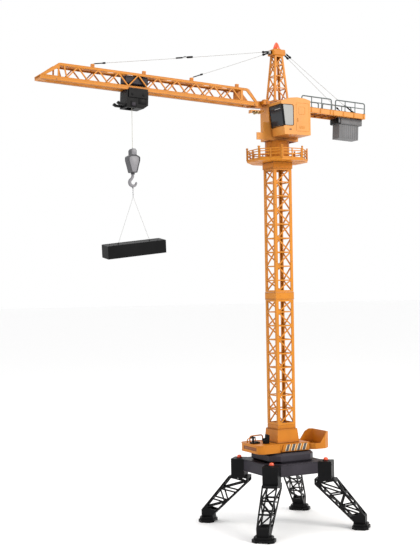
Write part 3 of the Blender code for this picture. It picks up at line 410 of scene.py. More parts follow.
def piece(name, mat, body, build, place=LEVEL, angle=35, stands_for=()):
    """Builds one mesh with build(bm), carries it into the row frame by place, and lets it ride on a body."""
    bm = bmesh.new()
    build(bm)
    bmesh.ops.transform(bm, matrix=place, verts=bm.verts[:])
    bmesh.ops.recalc_face_normals(bm, faces=bm.faces[:])
    mesh = settled(bm, name)
    bm.free()
    mesh.polygons.foreach_set("use_smooth", [True] * len(mesh.polygons))
    mesh.set_sharp_from_angle(angle=math.radians(angle))
    mesh.materials.append(mat)
    obj = bpy.data.objects.new(name, mesh)
    scene.collection.objects.link(obj)
    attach(obj, body)
    if stands_for:
        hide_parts(*stands_for)
    return obj


def paint(mat, *names):
    """Gives CAD nodes their finish."""
    for name in names:
        mesh = NODES[name].data
        mesh.materials.clear()
        mesh.materials.append(mat)


# ---------------------------------------------------------------- the CAD nodes' finishes
for name in NODES:
    paint(ORANGE, name)
# deck, tray, socket, drum, turret deck and head block take the shaded orange copy: painted shade
paint(SHADED_ORANGE, "deck_shell", "ballast_tray", "mast_socket", "slewing_drum", "counter_jib_deck",
      "turret_deck", "head_block")
# cab, turret body and counter-jib deck take the lit orange copy: painted light
paint(LIT_ORANGE, "cab_shell", "turret_body", "counter_jib_deck")
# far jib frame and jib nose take the shaded orange copy: painted shade on faces turned from the light
paint(SHADED_ORANGE, "jib_frame_far", "jib_nose")
paint(BLACK, "base_cover", "leg_jib_far", "leg_jib_near", "leg_tail_far", "leg_tail_near",
      "driver_seat", "control_levers", "load_beam", "trolley_body")
paint(CHARCOAL, "base_frame", "turntable_plate", "trolley_axle_front", "trolley_axle_rear",
      "trolley_motor_cover", "winch_drum")
paint(GREY, "hook", "slew_gear", "slew_pinion")
paint(DARK_GREY, "hook_block")
paint(WEIGHT, "counterweight")
paint(RED, "beacon", "lock_button_jib_far", "lock_button_jib_near", "lock_button_tail_far",
      "lock_button_tail_near")
paint(SMOKED, "cab_front_window")
paint(PANE, "cab_side_window")
paint(RAILING, "counter_railing_far", "counter_railing_near")
paint(WIRE, "front_guys", "rear_guys")
paint(STEEL, "slew_motor")

# the corner blocks of the base are black, and the frame between them charcoal
corner_mesh = NODES["base_frame"].data
corner_mesh.materials.append(BLACK)
for face in corner_mesh.polygons:
    middle = face.center
    reach = (abs(middle.x - AXIS_X) + abs(middle.y)) / math.sqrt(2)
    if reach > 0.0995:
        face.material_index = 1

BASE_TOP, DECK_TOP, BUTTON_AT = 0.1725, 0.2195, 0.1175


# ---------------------------------------------------------------- base and legs
def diagonal(sx, sy):
    return Matrix.Rotation(math.atan2(sy, sx), 4, "Z")


def base_fittings(bm):
    for sx, sy in DIAGONALS.values():
        turn = diagonal(sx, sy)
        collar = [(0.0068, BASE_TOP + 0.0001), (0.0068, BASE_TOP + 0.0014), (0.0074, BASE_TOP + 0.0019),
                  (0.0084, BASE_TOP + 0.0016), (0.0090, BASE_TOP + 0.0002), (0.0068, BASE_TOP + 0.0001)]
        lathe(bm, collar, turn @ Matrix.Translation((BUTTON_AT, 0, 0)), 32)
        for side in (-1, 1):
            dome(bm, turn @ Vector((BUTTON_AT + 0.0135, side * 0.0165, BASE_TOP + 0.0003)), (0, 0, 1),
                 0.0016)
            tread = turn @ Vector((0.2255, side * 0.0185, 0.0073))
            dome(bm, tread, (0, 0, 1), 0.0021, 0.0012)
        for height in (0.1335, 0.1640):
            for side in (-1, 1):
                spot = turn @ Vector((BUTTON_AT + 0.0181, side * 0.0150, height))
                dome(bm, spot, turn @ Vector((1, 0, 0)), 0.0015, 0.0007)


def base_ribs(bm):
    for turn in [Matrix.Rotation(math.pi / 2 * k, 4, "Z") for k in range(4)]:
        for low, high in (((-0.062, -0.0858, 0.1418), (0.062, -0.0848, 0.1432)),
                          ((-0.062, -0.0858, 0.1705), (0.062, -0.0848, 0.1719))):
            tube(bm, [turn @ Vector((low[0], low[1], (low[2] + high[2]) / 2)),
                      turn @ Vector((high[0], low[1], (low[2] + high[2]) / 2))], 0.0007, 8)
    rim = bent([(x, y, 0.1966) for x, y in
                [(-0.0625, -0.0425), (-0.0425, -0.0625), (0.0425, -0.0625), (0.0625, -0.0425),
                 (0.0625, 0.0425), (0.0425, 0.0625), (-0.0425, 0.0625), (-0.0625, 0.0425)]],
               0.004, 4, closed=True)
    tube(bm, rim, 0.0009, 8, closed=True)


piece("base_collars_and_screws", BLACK, "base", base_fittings)
piece("base_edge_mouldings", CHARCOAL, "base", base_ribs)


# ---------------------------------------------------------------- deck
def deck_beads(bm):
    front = bent([(-0.0330, -0.0470, DECK_TOP), (-0.0400, -0.0535, DECK_TOP), (-0.0995, -0.0535, DECK_TOP),
                  (-0.0995, 0.0535, DECK_TOP), (-0.0400, 0.0535, DECK_TOP), (-0.0330, 0.0470, DECK_TOP)],
                 0.0195, 8)
    tube(bm, front, 0.0010, 8)
    tube(bm, [p - Vector((0, 0, 0.0205)) for p in front], 0.0008, 8)


def deck_guard(bm):
    rail = bent([(-0.0700, 0.0480, DECK_TOP), (-0.0700, 0.0480, 0.2330), (-0.0330, 0.0440, 0.2350),
                 (-0.0330, 0.0440, DECK_TOP)], 0.010, 6)
    tube(bm, rail, 0.0018, 10)
    tube(bm, bent([(-0.0880, 0.0300, DECK_TOP), (-0.0880, 0.0300, 0.2290), (-0.0620, 0.0330, 0.2310),
                   (-0.0620, 0.0330, DECK_TOP)], 0.008, 6), 0.0014, 10)


def name_plate(bm):
    slab(bm, softened(rectangle(-0.0345, DECK_TOP - 0.0142, 0.0265, DECK_TOP - 0.0058), 0.0015), "YZ",
         -0.1004 + 0.0010, -0.0985, 0.0003)


def hazard_dark(bm):
    for k in range(4):
        x = -0.0190 + 0.0172 * k
        slab(bm, [(x, 0.2010), (x + 0.0078, 0.2010), (x + 0.0136, 0.2178), (x + 0.0058, 0.2178)],
             "XZ", -0.0499, -0.0488, 0.0)
        slab(bm, [(x, 0.2010), (x + 0.0078, 0.2010), (x + 0.0136, 0.2178), (x + 0.0058, 0.2178)],
             "XZ", 0.0488, 0.0499, 0.0)


def hazard_cream(bm):
    for k in range(4):
        x = -0.0190 + 0.0172 * k
        for shift in (-0.0020, 0.0078):
            edge = [(x + shift, 0.2010), (x + shift + 0.0020, 0.2010), (x + shift + 0.0078, 0.2178),
                    (x + shift + 0.0058, 0.2178)]
            slab(bm, edge, "XZ", -0.0498, -0.0488, 0.0)
            slab(bm, edge, "XZ", 0.0488, 0.0498, 0.0)


def seat_cushions(bm):
    block(bm, (-0.0655, -0.0208, 0.2262), (-0.0530, -0.0072, 0.2300), 0.0015)
    block(bm, (-0.0572, -0.0205, 0.2292), (-0.0532, -0.0075, 0.2440), 0.0015,
          Matrix.Rotation(math.radians(7), 4, "Y"))
    for y in (-0.0222, -0.0068):
        block(bm, (-0.0640, y, 0.2295), (-0.0530, y + 0.0010, 0.2335), 0.0004)


def lever_tops(bm):
    for x, y in ((-0.0870, 0.0005), (-0.0830, 0.0115)):
        dome(bm, (x, y, 0.2368), (0, 0, 1), 0.0022, 0.0018)
    block(bm, (-0.0790, -0.0020, 0.2232), (-0.0700, 0.0120, 0.2246), 0.0004)
    for y in (0.0000, 0.0050, 0.0100):
        dome(bm, (-0.0745, y, 0.2244), (0, 0, 1), 0.0012, 0.0009)


def tray_rim(bm):
    outline = [(0.0588, -0.0360, 0.2139), (0.0735, -0.0490, 0.2139), (0.0895, -0.0492, 0.2139),
               (0.1050, -0.0492, 0.2345), (0.1050, -0.0492, 0.2345), (0.1140, -0.0420, 0.2412),
               (0.1222, -0.0355, 0.2412), (0.1222, 0.0355, 0.2412), (0.1140, 0.0420, 0.2412),
               (0.1050, 0.0492, 0.2345), (0.0895, 0.0492, 0.2139), (0.0735, 0.0490, 0.2139),
               (0.0588, 0.0360, 0.2139)]
    path = [p for k, p in enumerate(outline) if k == 0 or p != outline[k - 1]]
    tube(bm, [Vector(p) - Vector((0, 0, 0.0006)) for p in path], 0.0010, 8)


def socket_bands(bm):
    for z, half in ((0.2216, 0.0333), (0.2545, 0.0302)):
        tube(bm, bent([(-half, -half, z), (half, -half, z), (half, half, z), (-half, half, z)],
                      0.003, 3, closed=True), 0.0009, 8, closed=True)
    for side in (-1, 1):
        for face in (-1, 1):
            dome(bm, (side * 0.0205, face * 0.0269, 0.2602), (0, face, 0), 0.0013, 0.0006)


# edge beads, guard rails, tray rim and socket bands take the shaded orange copy: painted shade
piece("deck_edge_beads", SHADED_ORANGE, "tower", deck_beads)
piece("deck_guard_rails", SHADED_ORANGE, "tower", deck_guard)
# painted shadow: the plate is coloured brown as the shade of a recess in the deck front
piece("deck_plate_shade", SHADOW_BROWN, "tower", name_plate)
piece("hazard_stripes_dark", DARK_GREY, "tower", hazard_dark)
piece("hazard_stripes_cream", CREAM, "tower", hazard_cream)
piece("seat_cushions", BLACK, "tower", seat_cushions)
piece("lever_knobs_and_dials", BLACK, "tower", lever_tops)
piece("tray_rim_bead", SHADED_ORANGE, "tower", tray_rim)
piece("mast_socket_bands", SHADED_ORANGE, "tower", socket_bands)


# ---------------------------------------------------------------- mast and platform
def mast_screws(bm):
    for z in (0.3536, 0.5014, 0.6957, 0.8452):
        for x in (-0.0238, 0.0238):
            dome(bm, (x, -0.0269, z), (0, -1, 0), 0.0012, 0.0006)
            dome(bm, (x, 0.0269, z), (0, 1, 0), 0.0012, 0.0006)
            dome(bm, (math.copysign(0.0269, x), 0.0238, z), (x, 0, 0), 0.0012, 0.0006)


def mast_bands(bm):
    for z in (0.5972, 0.6138, 0.9428, 0.9572):
        half = 0.0279 if z < 0.9 else 0.0288
        tube(bm, bent([(-half, -half, z), (half, -half, z), (half, half, z), (-half, half, z)],
                      0.002, 3, closed=True), 0.0008, 8, closed=True)
    for side in (-1, 1):
        for x in (-0.014, 0.014):
            dome(bm, (x, side * 0.0277, 0.6055), (0, side, 0), 0.0014, 0.0007)
            dome(bm, (side * 0.0277, x, 0.6055), (side, 0, 0), 0.0014, 0.0007)


def platform_posts(bm):
    corners = octagon(0.1488)
    for k, (x, y) in enumerate(corners):
        turn = Matrix.Rotation(math.atan2(y, x), 4, "Z")
        block(bm, (x - 0.0017, y - 0.0017, 0.9637), (x + 0.0017, y + 0.0017, 0.9952), 0.0005, turn)
        block(bm, (x - 0.0022, y - 0.0022, 0.9946), (x + 0.0022, y + 0.0022, 0.9966), 0.0006, turn)
        u, v = corners[(k + 1) % 8]
        mx, my = (x + u) / 2, (y + v) / 2
        turn = Matrix.Rotation(math.atan2(my, mx), 4, "Z")
        block(bm, (mx - 0.0011, my - 0.0011, 0.9637), (mx + 0.0011, my + 0.0011, 0.9900), 0.0004, turn)


def platform_tread(bm):
    for ring in (0.0400, 0.0500, 0.0600, 0.0690):
        outline = [(x, y, 0.9635) for x, y in octagon(ring * 2)]
        tube(bm, outline, 0.00045, 6, closed=True)
    for k in range(16):
        a = math.pi / 8 * k
        tube(bm, [(0.0345 * math.cos(a), 0.0345 * math.sin(a), 0.9635),
                  (0.0690 * math.cos(a), 0.0690 * math.sin(a), 0.9635)], 0.00045, 6)


def platform_ribs(bm):
    for k in range(8):
        turn = Matrix.Rotation(math.pi / 4 * k, 4, "Z")
        tube(bm, [turn @ Vector((0.0300, 0, 0.9590)), turn @ Vector((0.0735, 0, 0.9590))], 0.0009, 6)


def drum_rings(bm):
    for z in (0.9652, 0.9700, 1.0120):
        tube(bm, [(0.0316 * math.cos(a), 0.0316 * math.sin(a), z)
                  for a in [2 * math.pi * k / 48 for k in range(48)]], 0.0007, 6, closed=True)
    for k in range(12):
        a = math.pi / 6 * k
        x, y = 0.0315 * math.cos(a), 0.0315 * math.sin(a)
        tube(bm, [(x, y, 0.9705), (x, y, 1.0115)], 0.0006, 6)


# screw heads coloured with the painted shadow brown, as dark dots of shade
piece("mast_screw_shade", SHADOW_BROWN, "tower", mast_screws)
piece("mast_collar_bands", ORANGE, "tower", mast_bands)
piece("platform_posts", ORANGE, "tower", platform_posts)
# tread, underside ribs and drum ribs take the shaded orange copy: painted shade
piece("platform_tread", SHADED_ORANGE, "tower", platform_tread)
piece("platform_underside_ribs", SHADED_ORANGE, "tower", platform_ribs)
piece("slewing_drum_ribs", SHADED_ORANGE, "tower", drum_rings)


# ---------------------------------------------------------------- turret and cab
CAB_LOW, CAB_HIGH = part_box("cab_shell")
CAB_X0 = -0.0275
CAB_Y0, CAB_Y1 = CAB_LOW.y, CAB_HIGH.y
CAB_Z0 = CAB_LOW.z
LEAN = 0.010 / 0.085


def wind(z, out=0.0):
    """x of the windscreen's outer face at a height."""
    return CAB_X0 - LEAN * (z - CAB_Z0) - out


def turret_fittings(bm):
    for x, z in ((-0.0660, 1.0200), (-0.0660, 1.0290), (-0.0490, 1.0400), (-0.0490, 1.0550)):
        dome(bm, (x, -0.0213, z), (0, -1, 0), 0.0013, 0.0006)
    block(bm, (-0.0500, -0.0213, 1.1190), (-0.0380, -0.0080, 1.1216), 0.0008)
    block(bm, (-0.0500, 0.0060, 1.1190), (-0.0300, 0.0270, 1.1212), 0.0008)
    block(bm, (-0.0830, -0.0125, 1.0905), (-0.0450, 0.0020, 1.0935), 0.0008)
    block(bm, (-0.0850, -0.0125, 1.0850), (-0.0825, 0.0020, 1.0935), 0.0006)
    block(bm, (-0.0560, -0.0125, 1.0850), (-0.0535, 0.0020, 1.0935), 0.0006)


def turret_knob(bm):
    rod(bm, (-0.0660, -0.0175, 1.0870), (-0.0660, 0.0060, 1.0870), 0.0030, 20, 0.0006)
    rod(bm, (-0.0730, -0.0150, 1.0885), (-0.0730, 0.0030, 1.0885), 0.0018, 16, 0.0004)


def turret_slot(bm):
    block(bm, (-0.0315, -0.0220, 1.1105), (-0.0285, -0.0210, 1.1160), 0.0004)
    block(bm, (-0.0440, -0.0220, 1.1105), (-0.0410, -0.0210, 1.1160), 0.0004)
    block(bm, (0.0050, -0.0220, 1.0205), (0.0250, -0.0212, 1.0215), 0.0003)


def window_frames(bm):
    low, high = 1.0455, 1.1005
    rim = [(wind(low, 0.0002), CAB_Y0 + 0.0006, low), (wind(high, 0.0002), CAB_Y0 + 0.0006, high),
           (wind(high, 0.0002), CAB_Y1 - 0.0028, high), (wind(low, 0.0002), CAB_Y1 - 0.0028, low)]
    tube(bm, bent(rim, 0.002, 3, closed=True), 0.0013, 8, closed=True)
    corner = [(wind(low, -0.0030), CAB_Y0 + 0.0001, low), (wind(high, -0.0030), CAB_Y0 + 0.0001, high)]
    tube(bm, corner, 0.0012, 8)
    tube(bm, [(wind(low, -0.0012), CAB_Y0 + 0.0004, low), (wind(high, -0.0012), CAB_Y0 + 0.0004, high)],
         0.0016, 8)
    side = [(wind(1.0465, -0.0034), 1.0465), (-0.0007, 1.0465), (-0.0007, 1.1005),
            (wind(1.1005, -0.0034), 1.1005)]
    path = softened(side, 0.0045, 5)
    tube(bm, [(x, CAB_Y0 + 0.0001, z) for x, z in path], 0.0006, 6, closed=True)


def front_mullions(bm):
    z = 1.0870
    tube(bm, [(wind(z, -0.0006), CAB_Y0 + 0.0020, z), (wind(z, -0.0006), CAB_Y1 - 0.0040, z)], 0.0009, 8)


# painted reflection: a pale strip laid on the windscreen where it catches the light
def front_highlight(bm):
    z0, z1 = 1.0895, 1.0945
    y0, y1 = CAB_Y0 + 0.0080, CAB_Y1 - 0.0260
    slab(bm, softened([(y0, z0), (y1, z0), (y1 - 0.004, z1), (y0 + 0.002, z1)], 0.0008, 2), "YZ",
         wind(1.092, 0.0004), wind(1.092, -0.0006), 0.0001)


def blank_label(bm):
    z0, z1 = 1.0520, 1.0800
    for z in (z0 + 0.004, z0 + 0.0245):
        tube(bm, [(wind(z, 0.0002), CAB_Y0 + 0.0090, z), (wind(z, 0.0002), CAB_Y1 - 0.0120, z)], 0.0003, 6)


def door_lines(bm):
    y = CAB_Y0 + 0.0001
    door = softened(rectangle(0.0075, 1.0330, 0.0470, 1.1060), 0.0030, 4)
    tube(bm, [(x, y, z) for x, z in door], 0.00042, 6, closed=True)
    pane = softened(rectangle(0.0150, 1.0765, 0.0340, 1.0960), 0.0035, 5)
    tube(bm, [(x, y, z) for x, z in pane], 0.00042, 6, closed=True)
    handle = bent([(0.0120, y, 1.0560), (0.0120, y - 0.0006, 1.0575), (0.0120, y - 0.0006, 1.0650),
                   (0.0120, y, 1.0665)], 0.001, 3)
    tube(bm, handle, 0.0006, 8)
    for k in range(4):
        z = 1.0400 + 0.0020 * k
        tube(bm, [(0.0165, y, z), (0.0330, y, z)], 0.00038, 6)


def cab_recess(bm):
    slot = softened(rectangle(-0.0140, 1.0345, -0.0070, 1.0382), 0.0018, 4)
    slab(bm, slot, "XZ", CAB_Y0 - 0.00025, CAB_Y0 + 0.0006, 0.0001)


def cab_roof(bm):
    profile = [(wind(1.1085), 1.1085), (-0.0120, 1.1180), (0.0110, 1.1205), (0.0350, 1.1185),
               (0.0515, 1.1140)]
    for y in (CAB_Y0 + 0.0006, CAB_Y1 - 0.0010):
        tube(bm, [(x + (0.0006 if k == 0 else -0.0006 if k == 4 else 0), y, z - 0.0008)
                  for k, (x, z) in enumerate(profile)], 0.0008, 6)
    z = 1.1078
    tube(bm, [(wind(z, -0.0006), CAB_Y0 + 0.0008, z), (wind(z, -0.0006), CAB_Y1 - 0.0010, z)], 0.0010, 8)
    for x in (-0.002, 0.018, 0.038):
        z = 1.1196 - abs(x - 0.011) * 0.08
        tube(bm, [(x, CAB_Y0 + 0.010, z), (x, CAB_Y1 - 0.010, z)], 0.0006, 6)


# the turret brackets take the lit orange copy: painted light
piece("turret_brackets", LIT_ORANGE, "tower", turret_fittings)
piece("turret_pulley_knobs", BRASS, "tower", turret_knob)
# painted shadow: brown strips stand for the shade inside the turret's slots
piece("turret_slot_shade", SHADOW_BROWN, "tower", turret_slot)
piece("cab_window_frames", BLACK, "tower", window_frames)
piece("cab_windscreen_bar", BLACK, "tower", front_mullions)
piece("cab_windscreen_highlight", REFLECTION_WHITE, "tower", front_highlight)
piece("cab_blank_label_lines", DARK_GREY, "tower", blank_label)
# the door outline takes the shaded orange copy: painted shade
piece("cab_door_outline", SHADED_ORANGE, "tower", door_lines)
# painted shadow: a brown slab stands for the shade inside the cab's vent hole
piece("cab_vent_shade", SHADOW_BROWN, "tower", cab_recess)
# the cab roof edges take the lit orange copy: painted light
piece("cab_roof_edges", LIT_ORANGE, "tower", cab_roof)


# ---------------------------------------------------------------- tower head, guys
HEAD_X = 0.003


def head_fittings(bm):
    z, half = 1.2436, 0.0128
    tube(bm, bent([(HEAD_X - half, -half, z), (HEAD_X + half, -half, z), (HEAD_X + half, half, z),
                   (HEAD_X - half, half, z)], 0.002, 3, closed=True), 0.0010, 8, closed=True)
    ring = [(0.0094, 1.2588), (0.0118, 1.2588), (0.0122, 1.2600), (0.0116, 1.2614), (0.0094, 1.2616),
            (0.0094, 1.2588)]
    lathe(bm, ring, Matrix.Translation((HEAD_X, 0, 0)), 32)
    for x in (-0.0150, 0.0150):
        for y in (-0.0158, 0.0158):
            dome(bm, (HEAD_X + x, y * 0.985, 1.2510), (0, y, 0), 0.0017, 0.0008)


def guy_clips(bm):
    for start, end in guy_lines:
        way = (end - start).normalized()
        rod(bm, start + way * 0.001, start + way * 0.0145, 0.0021, 14, 0.0006)
        rod(bm, start + way * 0.0130, start + way * 0.0185, 0.0030, 14, 0.0008)
        rod(bm, end - way * 0.0290, end - way * 0.0040, 0.0013, 12, 0.0004)
        rod(bm, end - way * 0.0330, end - way * 0.0260, 0.0023, 14, 0.0006)
    start, end = guy_lines[0]
    way = (end - start).normalized()
    middle = start + way * ((end - start).length * 0.50)
    rod(bm, middle - way * 0.024, middle - way * 0.008, 0.0026, 14, 0.0007)
    rod(bm, middle + way * 0.006, middle + way * 0.024, 0.0019, 14, 0.0005)
    hook = [middle - way * 0.008, middle - way * 0.004 + Vector((0, 0, 0.0025)),
            middle + Vector((0, 0, 0.0022)), middle + way * 0.006]
    tube(bm, bent(hook, 0.002, 3), 0.0009, 8)
    for x in (-0.0188, 0.0188):
        block(bm, (HEAD_X + x - 0.0040, -0.0080, 1.2465), (HEAD_X + x + 0.0040, 0.0080, 1.2550), 0.0012)


CLIMB_LOCAL = LEVEL.inverted() @ CLIMB
LUG_TOP = 1.1418 + 0.012
guy_lines = []
for row, lug in ((1, -0.5262), (-1, -0.2554)):
    guy_lines.append((Vector((HEAD_X - 0.0256, 0, 1.2510 + row * 0.0018)),
                      CLIMB_LOCAL @ Vector((lug + 0.0010, 0, LUG_TOP + 0.0010))))
for row in (-1, 1):
    guy_lines.append((Vector((HEAD_X + 0.0256, row * 0.0050, 1.2510)),
                      CLIMB_LOCAL @ Vector((0.2330, row * 0.0210, 1.1138))))
# the head block fittings take the shaded orange copy: painted shade
piece("head_block_fittings", SHADED_ORANGE, "tower", head_fittings)
piece("guy_clips_and_hooks", BLACK, "tower", guy_clips)


# ---------------------------------------------------------------- jib, drawn level
RAIL_LOW, RAIL_TOP, JIB_TOP, JIB_HALF = 1.0995, 1.1045, 1.1418, 0.0205


def jib_beads(bm):
    for side in (-1, 1):
        y = side * (JIB_HALF + 0.0001)
        for x0, x1, z in ((-0.6610, -0.0720, RAIL_TOP + 0.0040), (-0.6150, -0.1040, JIB_TOP - 0.0058),
                          (-0.6150, -0.1040, JIB_TOP - 0.0006)):
            tube(bm, [(x0, y, z), (x1, y, z)], 0.0006, 6)
    for side in (-1, 1):
        y = side * (JIB_HALF + 0.0001)
        tube(bm, [(-0.0985, y, JIB_TOP - 0.0010), (-0.0705, y, 1.1090)], 0.0006, 6)
        tube(bm, [(-0.6195, y, JIB_TOP - 0.0010), (-0.6620, y, 1.1090)], 0.0006, 6)


def jib_lug_caps(bm):
    for x in (-0.5262, -0.3886, -0.2554, -0.1226):
        block(bm, (x - 0.0044, -0.0039, JIB_TOP + 0.0010), (x + 0.0044, 0.0039, JIB_TOP + 0.0028), 0.0006)
        for y in (-0.0035, 0.0035):
            dome(bm, (x, y, JIB_TOP + 0.0085), (0, y, 0), 0.0013, 0.0005)


def jib_dark(bm):
    for side in (-1, 1):
        for x in (-0.6240, -0.2207, -0.0790):
            y = side * (JIB_HALF + 0.0001)
            rod(bm, (x, y - side * 0.0012, 1.1020), (x, y + side * 0.0003, 1.1020), 0.0015, 14)
    for x in (-0.6440, -0.1010):
        block(bm, (x - 0.0006, -0.0165, RAIL_TOP + 0.0006), (x + 0.0006, 0.0165, RAIL_TOP + 0.0016), 0.0003)


def jib_under(bm):
    for y in (-0.0195, -0.0090, 0.0090, 0.0195):
        tube(bm, [(-0.6600, y, RAIL_LOW - 0.0001), (-0.0740, y, RAIL_LOW - 0.0001)], 0.0005, 6)


piece("jib_chord_beads", ORANGE, "tower", jib_beads, CLIMB)
piece("jib_lug_collars", ORANGE, "tower", jib_lug_caps, CLIMB)
# painted shadow: brown discs stand for the shade inside pin holes, brown bars for shade across the rails
piece("jib_pin_hole_shade", SHADOW_BROWN, "tower", jib_dark, CLIMB)
# painted shadow: brown strips under the jib stand for its shaded underside
piece("jib_underside_shade", SHADOW_BROWN, "tower", jib_under, CLIMB)


# ---------------------------------------------------------------- counter-jib, drawn level
COUNTER_TOP, COUNTER_LOW, COUNTER_HALF, HAND_Z = 1.1122, 1.0980, 0.033, 1.1422


def railing(bm, side):
    y, tall = side * (COUNTER_HALF - 0.0015), 0.0017
    for x0, x1 in ((0.0576, 0.1549), (0.1659, 0.2643)):
        hoop = bent([(x0 + 0.0012, y, COUNTER_TOP), (x0 + 0.0012, y, HAND_Z - tall),
                     (x1 - 0.0012, y, HAND_Z - tall), (x1 - 0.0012, y, COUNTER_TOP)], 0.0060, 6)
        tube(bm, hoop, 0.0016, 10)
        level = 1.1262
        tube(bm, [(x0 + 0.0012, y, level), (x1 - 0.0012, y, level)], 0.0012, 8)
        for k in (1, 2):
            x = x0 + (x1 - x0) * k / 3
            tube(bm, [(x, y, COUNTER_TOP), (x, y, HAND_Z - tall)], 0.0012, 8)
        for k in range(4):
            x = x0 + 0.0012 + (x1 - x0 - 0.0024) * k / 3
            block(bm, (x - 0.0022, y - 0.0012, COUNTER_TOP + 0.0001),
                  (x + 0.0022, y + 0.0012, COUNTER_TOP + 0.0022), 0.0005)


def counter_ribs(bm):
    for side in (-1, 1):
        y = side * (COUNTER_HALF - 0.0001)
        for x in (0.0600, 0.0890, 0.1181, 0.1503, 0.1601, 0.1928, 0.2274, 0.2592):
            block(bm, (x - 0.0017, y - 0.0009, COUNTER_LOW + 0.0005),
                  (x + 0.0017, y + 0.0009, COUNTER_TOP - 0.0002), 0.0004)
        for z in (COUNTER_TOP - 0.0007, COUNTER_LOW + 0.0008):
            tube(bm, [(0.0555, y, z), (0.2645, y, z)], 0.0005, 6)


def counter_clips(bm):
    for y in (-0.021, 0.021):
        rod(bm, (0.2150, y, 1.1262), (0.2345, y, 1.1150), 0.0012, 12, 0.0003)
        rod(bm, (0.2290, y, 1.1182), (0.2365, y, 1.1139), 0.0021, 12, 0.0005)
        block(bm, (0.2300, y - 0.0030, COUNTER_TOP), (0.2380, y + 0.0030, COUNTER_TOP + 0.0022), 0.0006)


def counter_cross(bm):
    for k in range(9):
        x = 0.0700 + 0.0230 * k
        if 0.184 < x < 0.268:
            continue
        block(bm, (x - 0.0008, -0.0300, COUNTER_LOW + 0.0010),
              (x + 0.0008, 0.0300, COUNTER_LOW + 0.0040), 0.0003)


def weight_ribs(bm):
    low, high = 1.0422, 1.0805
    for k in range(9):
        x = 0.1955 + 0.0070 * k
        for side in (-1, 1):
            near, far = sorted((side * 0.0157, side * 0.0163))
            block(bm, (x - 0.0013, near, low), (x + 0.0013, far, high), 0.0003)
    for side in (-1, 1):
        y = side * 0.0185
        tube(bm, [(0.1880, y, 1.0832), (0.2642, y, 1.0832)], 0.0005, 6)


def weight_strap(bm):
    for y in (-0.0188, 0.0188):
        strap = bent([(0.1862, y, 1.0960), (0.1862, y, 1.0815), (0.1945, y, 1.0815), (0.1945, y, 1.0960)],
                     0.003, 5)
        tube(bm, strap, 0.0011, 8)
    block(bm, (0.1848, -0.0170, 1.0820), (0.1872, 0.0170, 1.0960), 0.0006)


piece("counter_railing_tubes_near", RAILING, "tower", lambda bm: railing(bm, -1), CLIMB,
      stands_for=("counter_railing_near",))
piece("counter_railing_tubes_far", RAILING, "tower", lambda bm: railing(bm, 1), CLIMB,
      stands_for=("counter_railing_far",))
# the counter-jib ribs take the shaded orange copy as painted shade on their sides
piece("counter_jib_ribs", SHADED_ORANGE, "tower", counter_ribs, CLIMB)
# painted shadow: brown ribs under the counter-jib stand for its shaded underside
piece("counter_jib_cross_rib_shade", SHADOW_BROWN, "tower", counter_cross, CLIMB)
piece("counter_guy_clips", BLACK, "tower", counter_clips, CLIMB)
piece("counterweight_ribs", WEIGHT, "tower", weight_ribs, CLIMB)
piece("counterweight_strap", BLACK, "tower", weight_strap, CLIMB)


# ---------------------------------------------------------------- trolley, drawn level
def trolley_fittings(bm):
    x0, x1 = -0.4422, -0.3842
    for side in (-1, 1):
        y = side * 0.0240
        for x in (x0 + 0.0140, x1 - 0.0140):
            rod(bm, (x, y - side * 0.0006, 1.0885), (x, y + side * 0.0008, 1.0885), 0.0036, 20, 0.0004)
            rod(bm, (x, y, 1.0885), (x, y + side * 0.0014, 1.0885), 0.0018, 16, 0.0003)
        near, far = sorted((side * 0.0211, side * 0.0219))
        block(bm, (x0 + 0.0110, near, 1.0580), (x0 + 0.0270, far, 1.0720), 0.0008)
        block(bm, (x0 + 0.0320, near, 1.0660), (x1 - 0.0060, far, 1.0790), 0.0008)
    for y0, drop in ((-0.0190, 0.0), (0.0060, 0.0015)):
        slab(bm, [(x0 - 0.0230, 1.0640 - drop), (x0 - 0.0160, 1.0600 - drop), (x0 + 0.0040, 1.0600 - drop),
                  (x0 + 0.0040, 1.0660 - drop), (x0 - 0.0140, 1.0650 - drop), (x0 - 0.0200, 1.0690 - drop)],
             "XZ", y0, y0 + 0.0100, 0.0006)


def trolley_shadow(bm):
    x0 = -0.4422
    for side in (-1, 1):
        near, far = sorted((side * 0.0217, side * 0.0223))
        block(bm, (x0 + 0.0140, near, 1.0605), (x0 + 0.0235, far, 1.0685), 0.0004)


def motor_cover_lines(bm):
    for z in (1.1210, 1.1290):
        for y in (-0.0151, 0.0151):
            tube(bm, [(-0.4430, y, z), (-0.3850, y, z)], 0.0005, 6)


piece("trolley_guide_plates", BLACK, "trolley", trolley_fittings, CLIMB)
# painted shadow: dark charcoal blocks on the trolley's side plates
piece("trolley_side_shadow", CHARCOAL, "trolley", trolley_shadow, CLIMB)
piece("motor_cover_lines", CHARCOAL, "trolley", motor_cover_lines, CLIMB)


# ---------------------------------------------------------------- hook block, hook, sling and beam
ROPE_X, WINCH_Z = -0.4203, 1.0931
BLOCK_LOW, BLOCK_HIGH = 0.9168, 0.9759


def shield(half, neck, foot, low, high):
    shoulder, waist, cap = BLOCK_HIGH - 0.0165, BLOCK_HIGH - 0.0330, neck - 0.0015
    right = [(foot, low), (half - 0.0030, waist - 0.006), (half, waist + 0.004), (half, shoulder - 0.004),
             (neck, shoulder), (cap, shoulder + 0.002)]
    if high > shoulder + 0.004:
        right += [(cap, high - 0.004), (0.0040, high)]
    else:
        right = right[:-1]
    left = [(-x, z) for x, z in reversed(right)]
    return [(ROPE_X + x, z) for x, z in right + left]


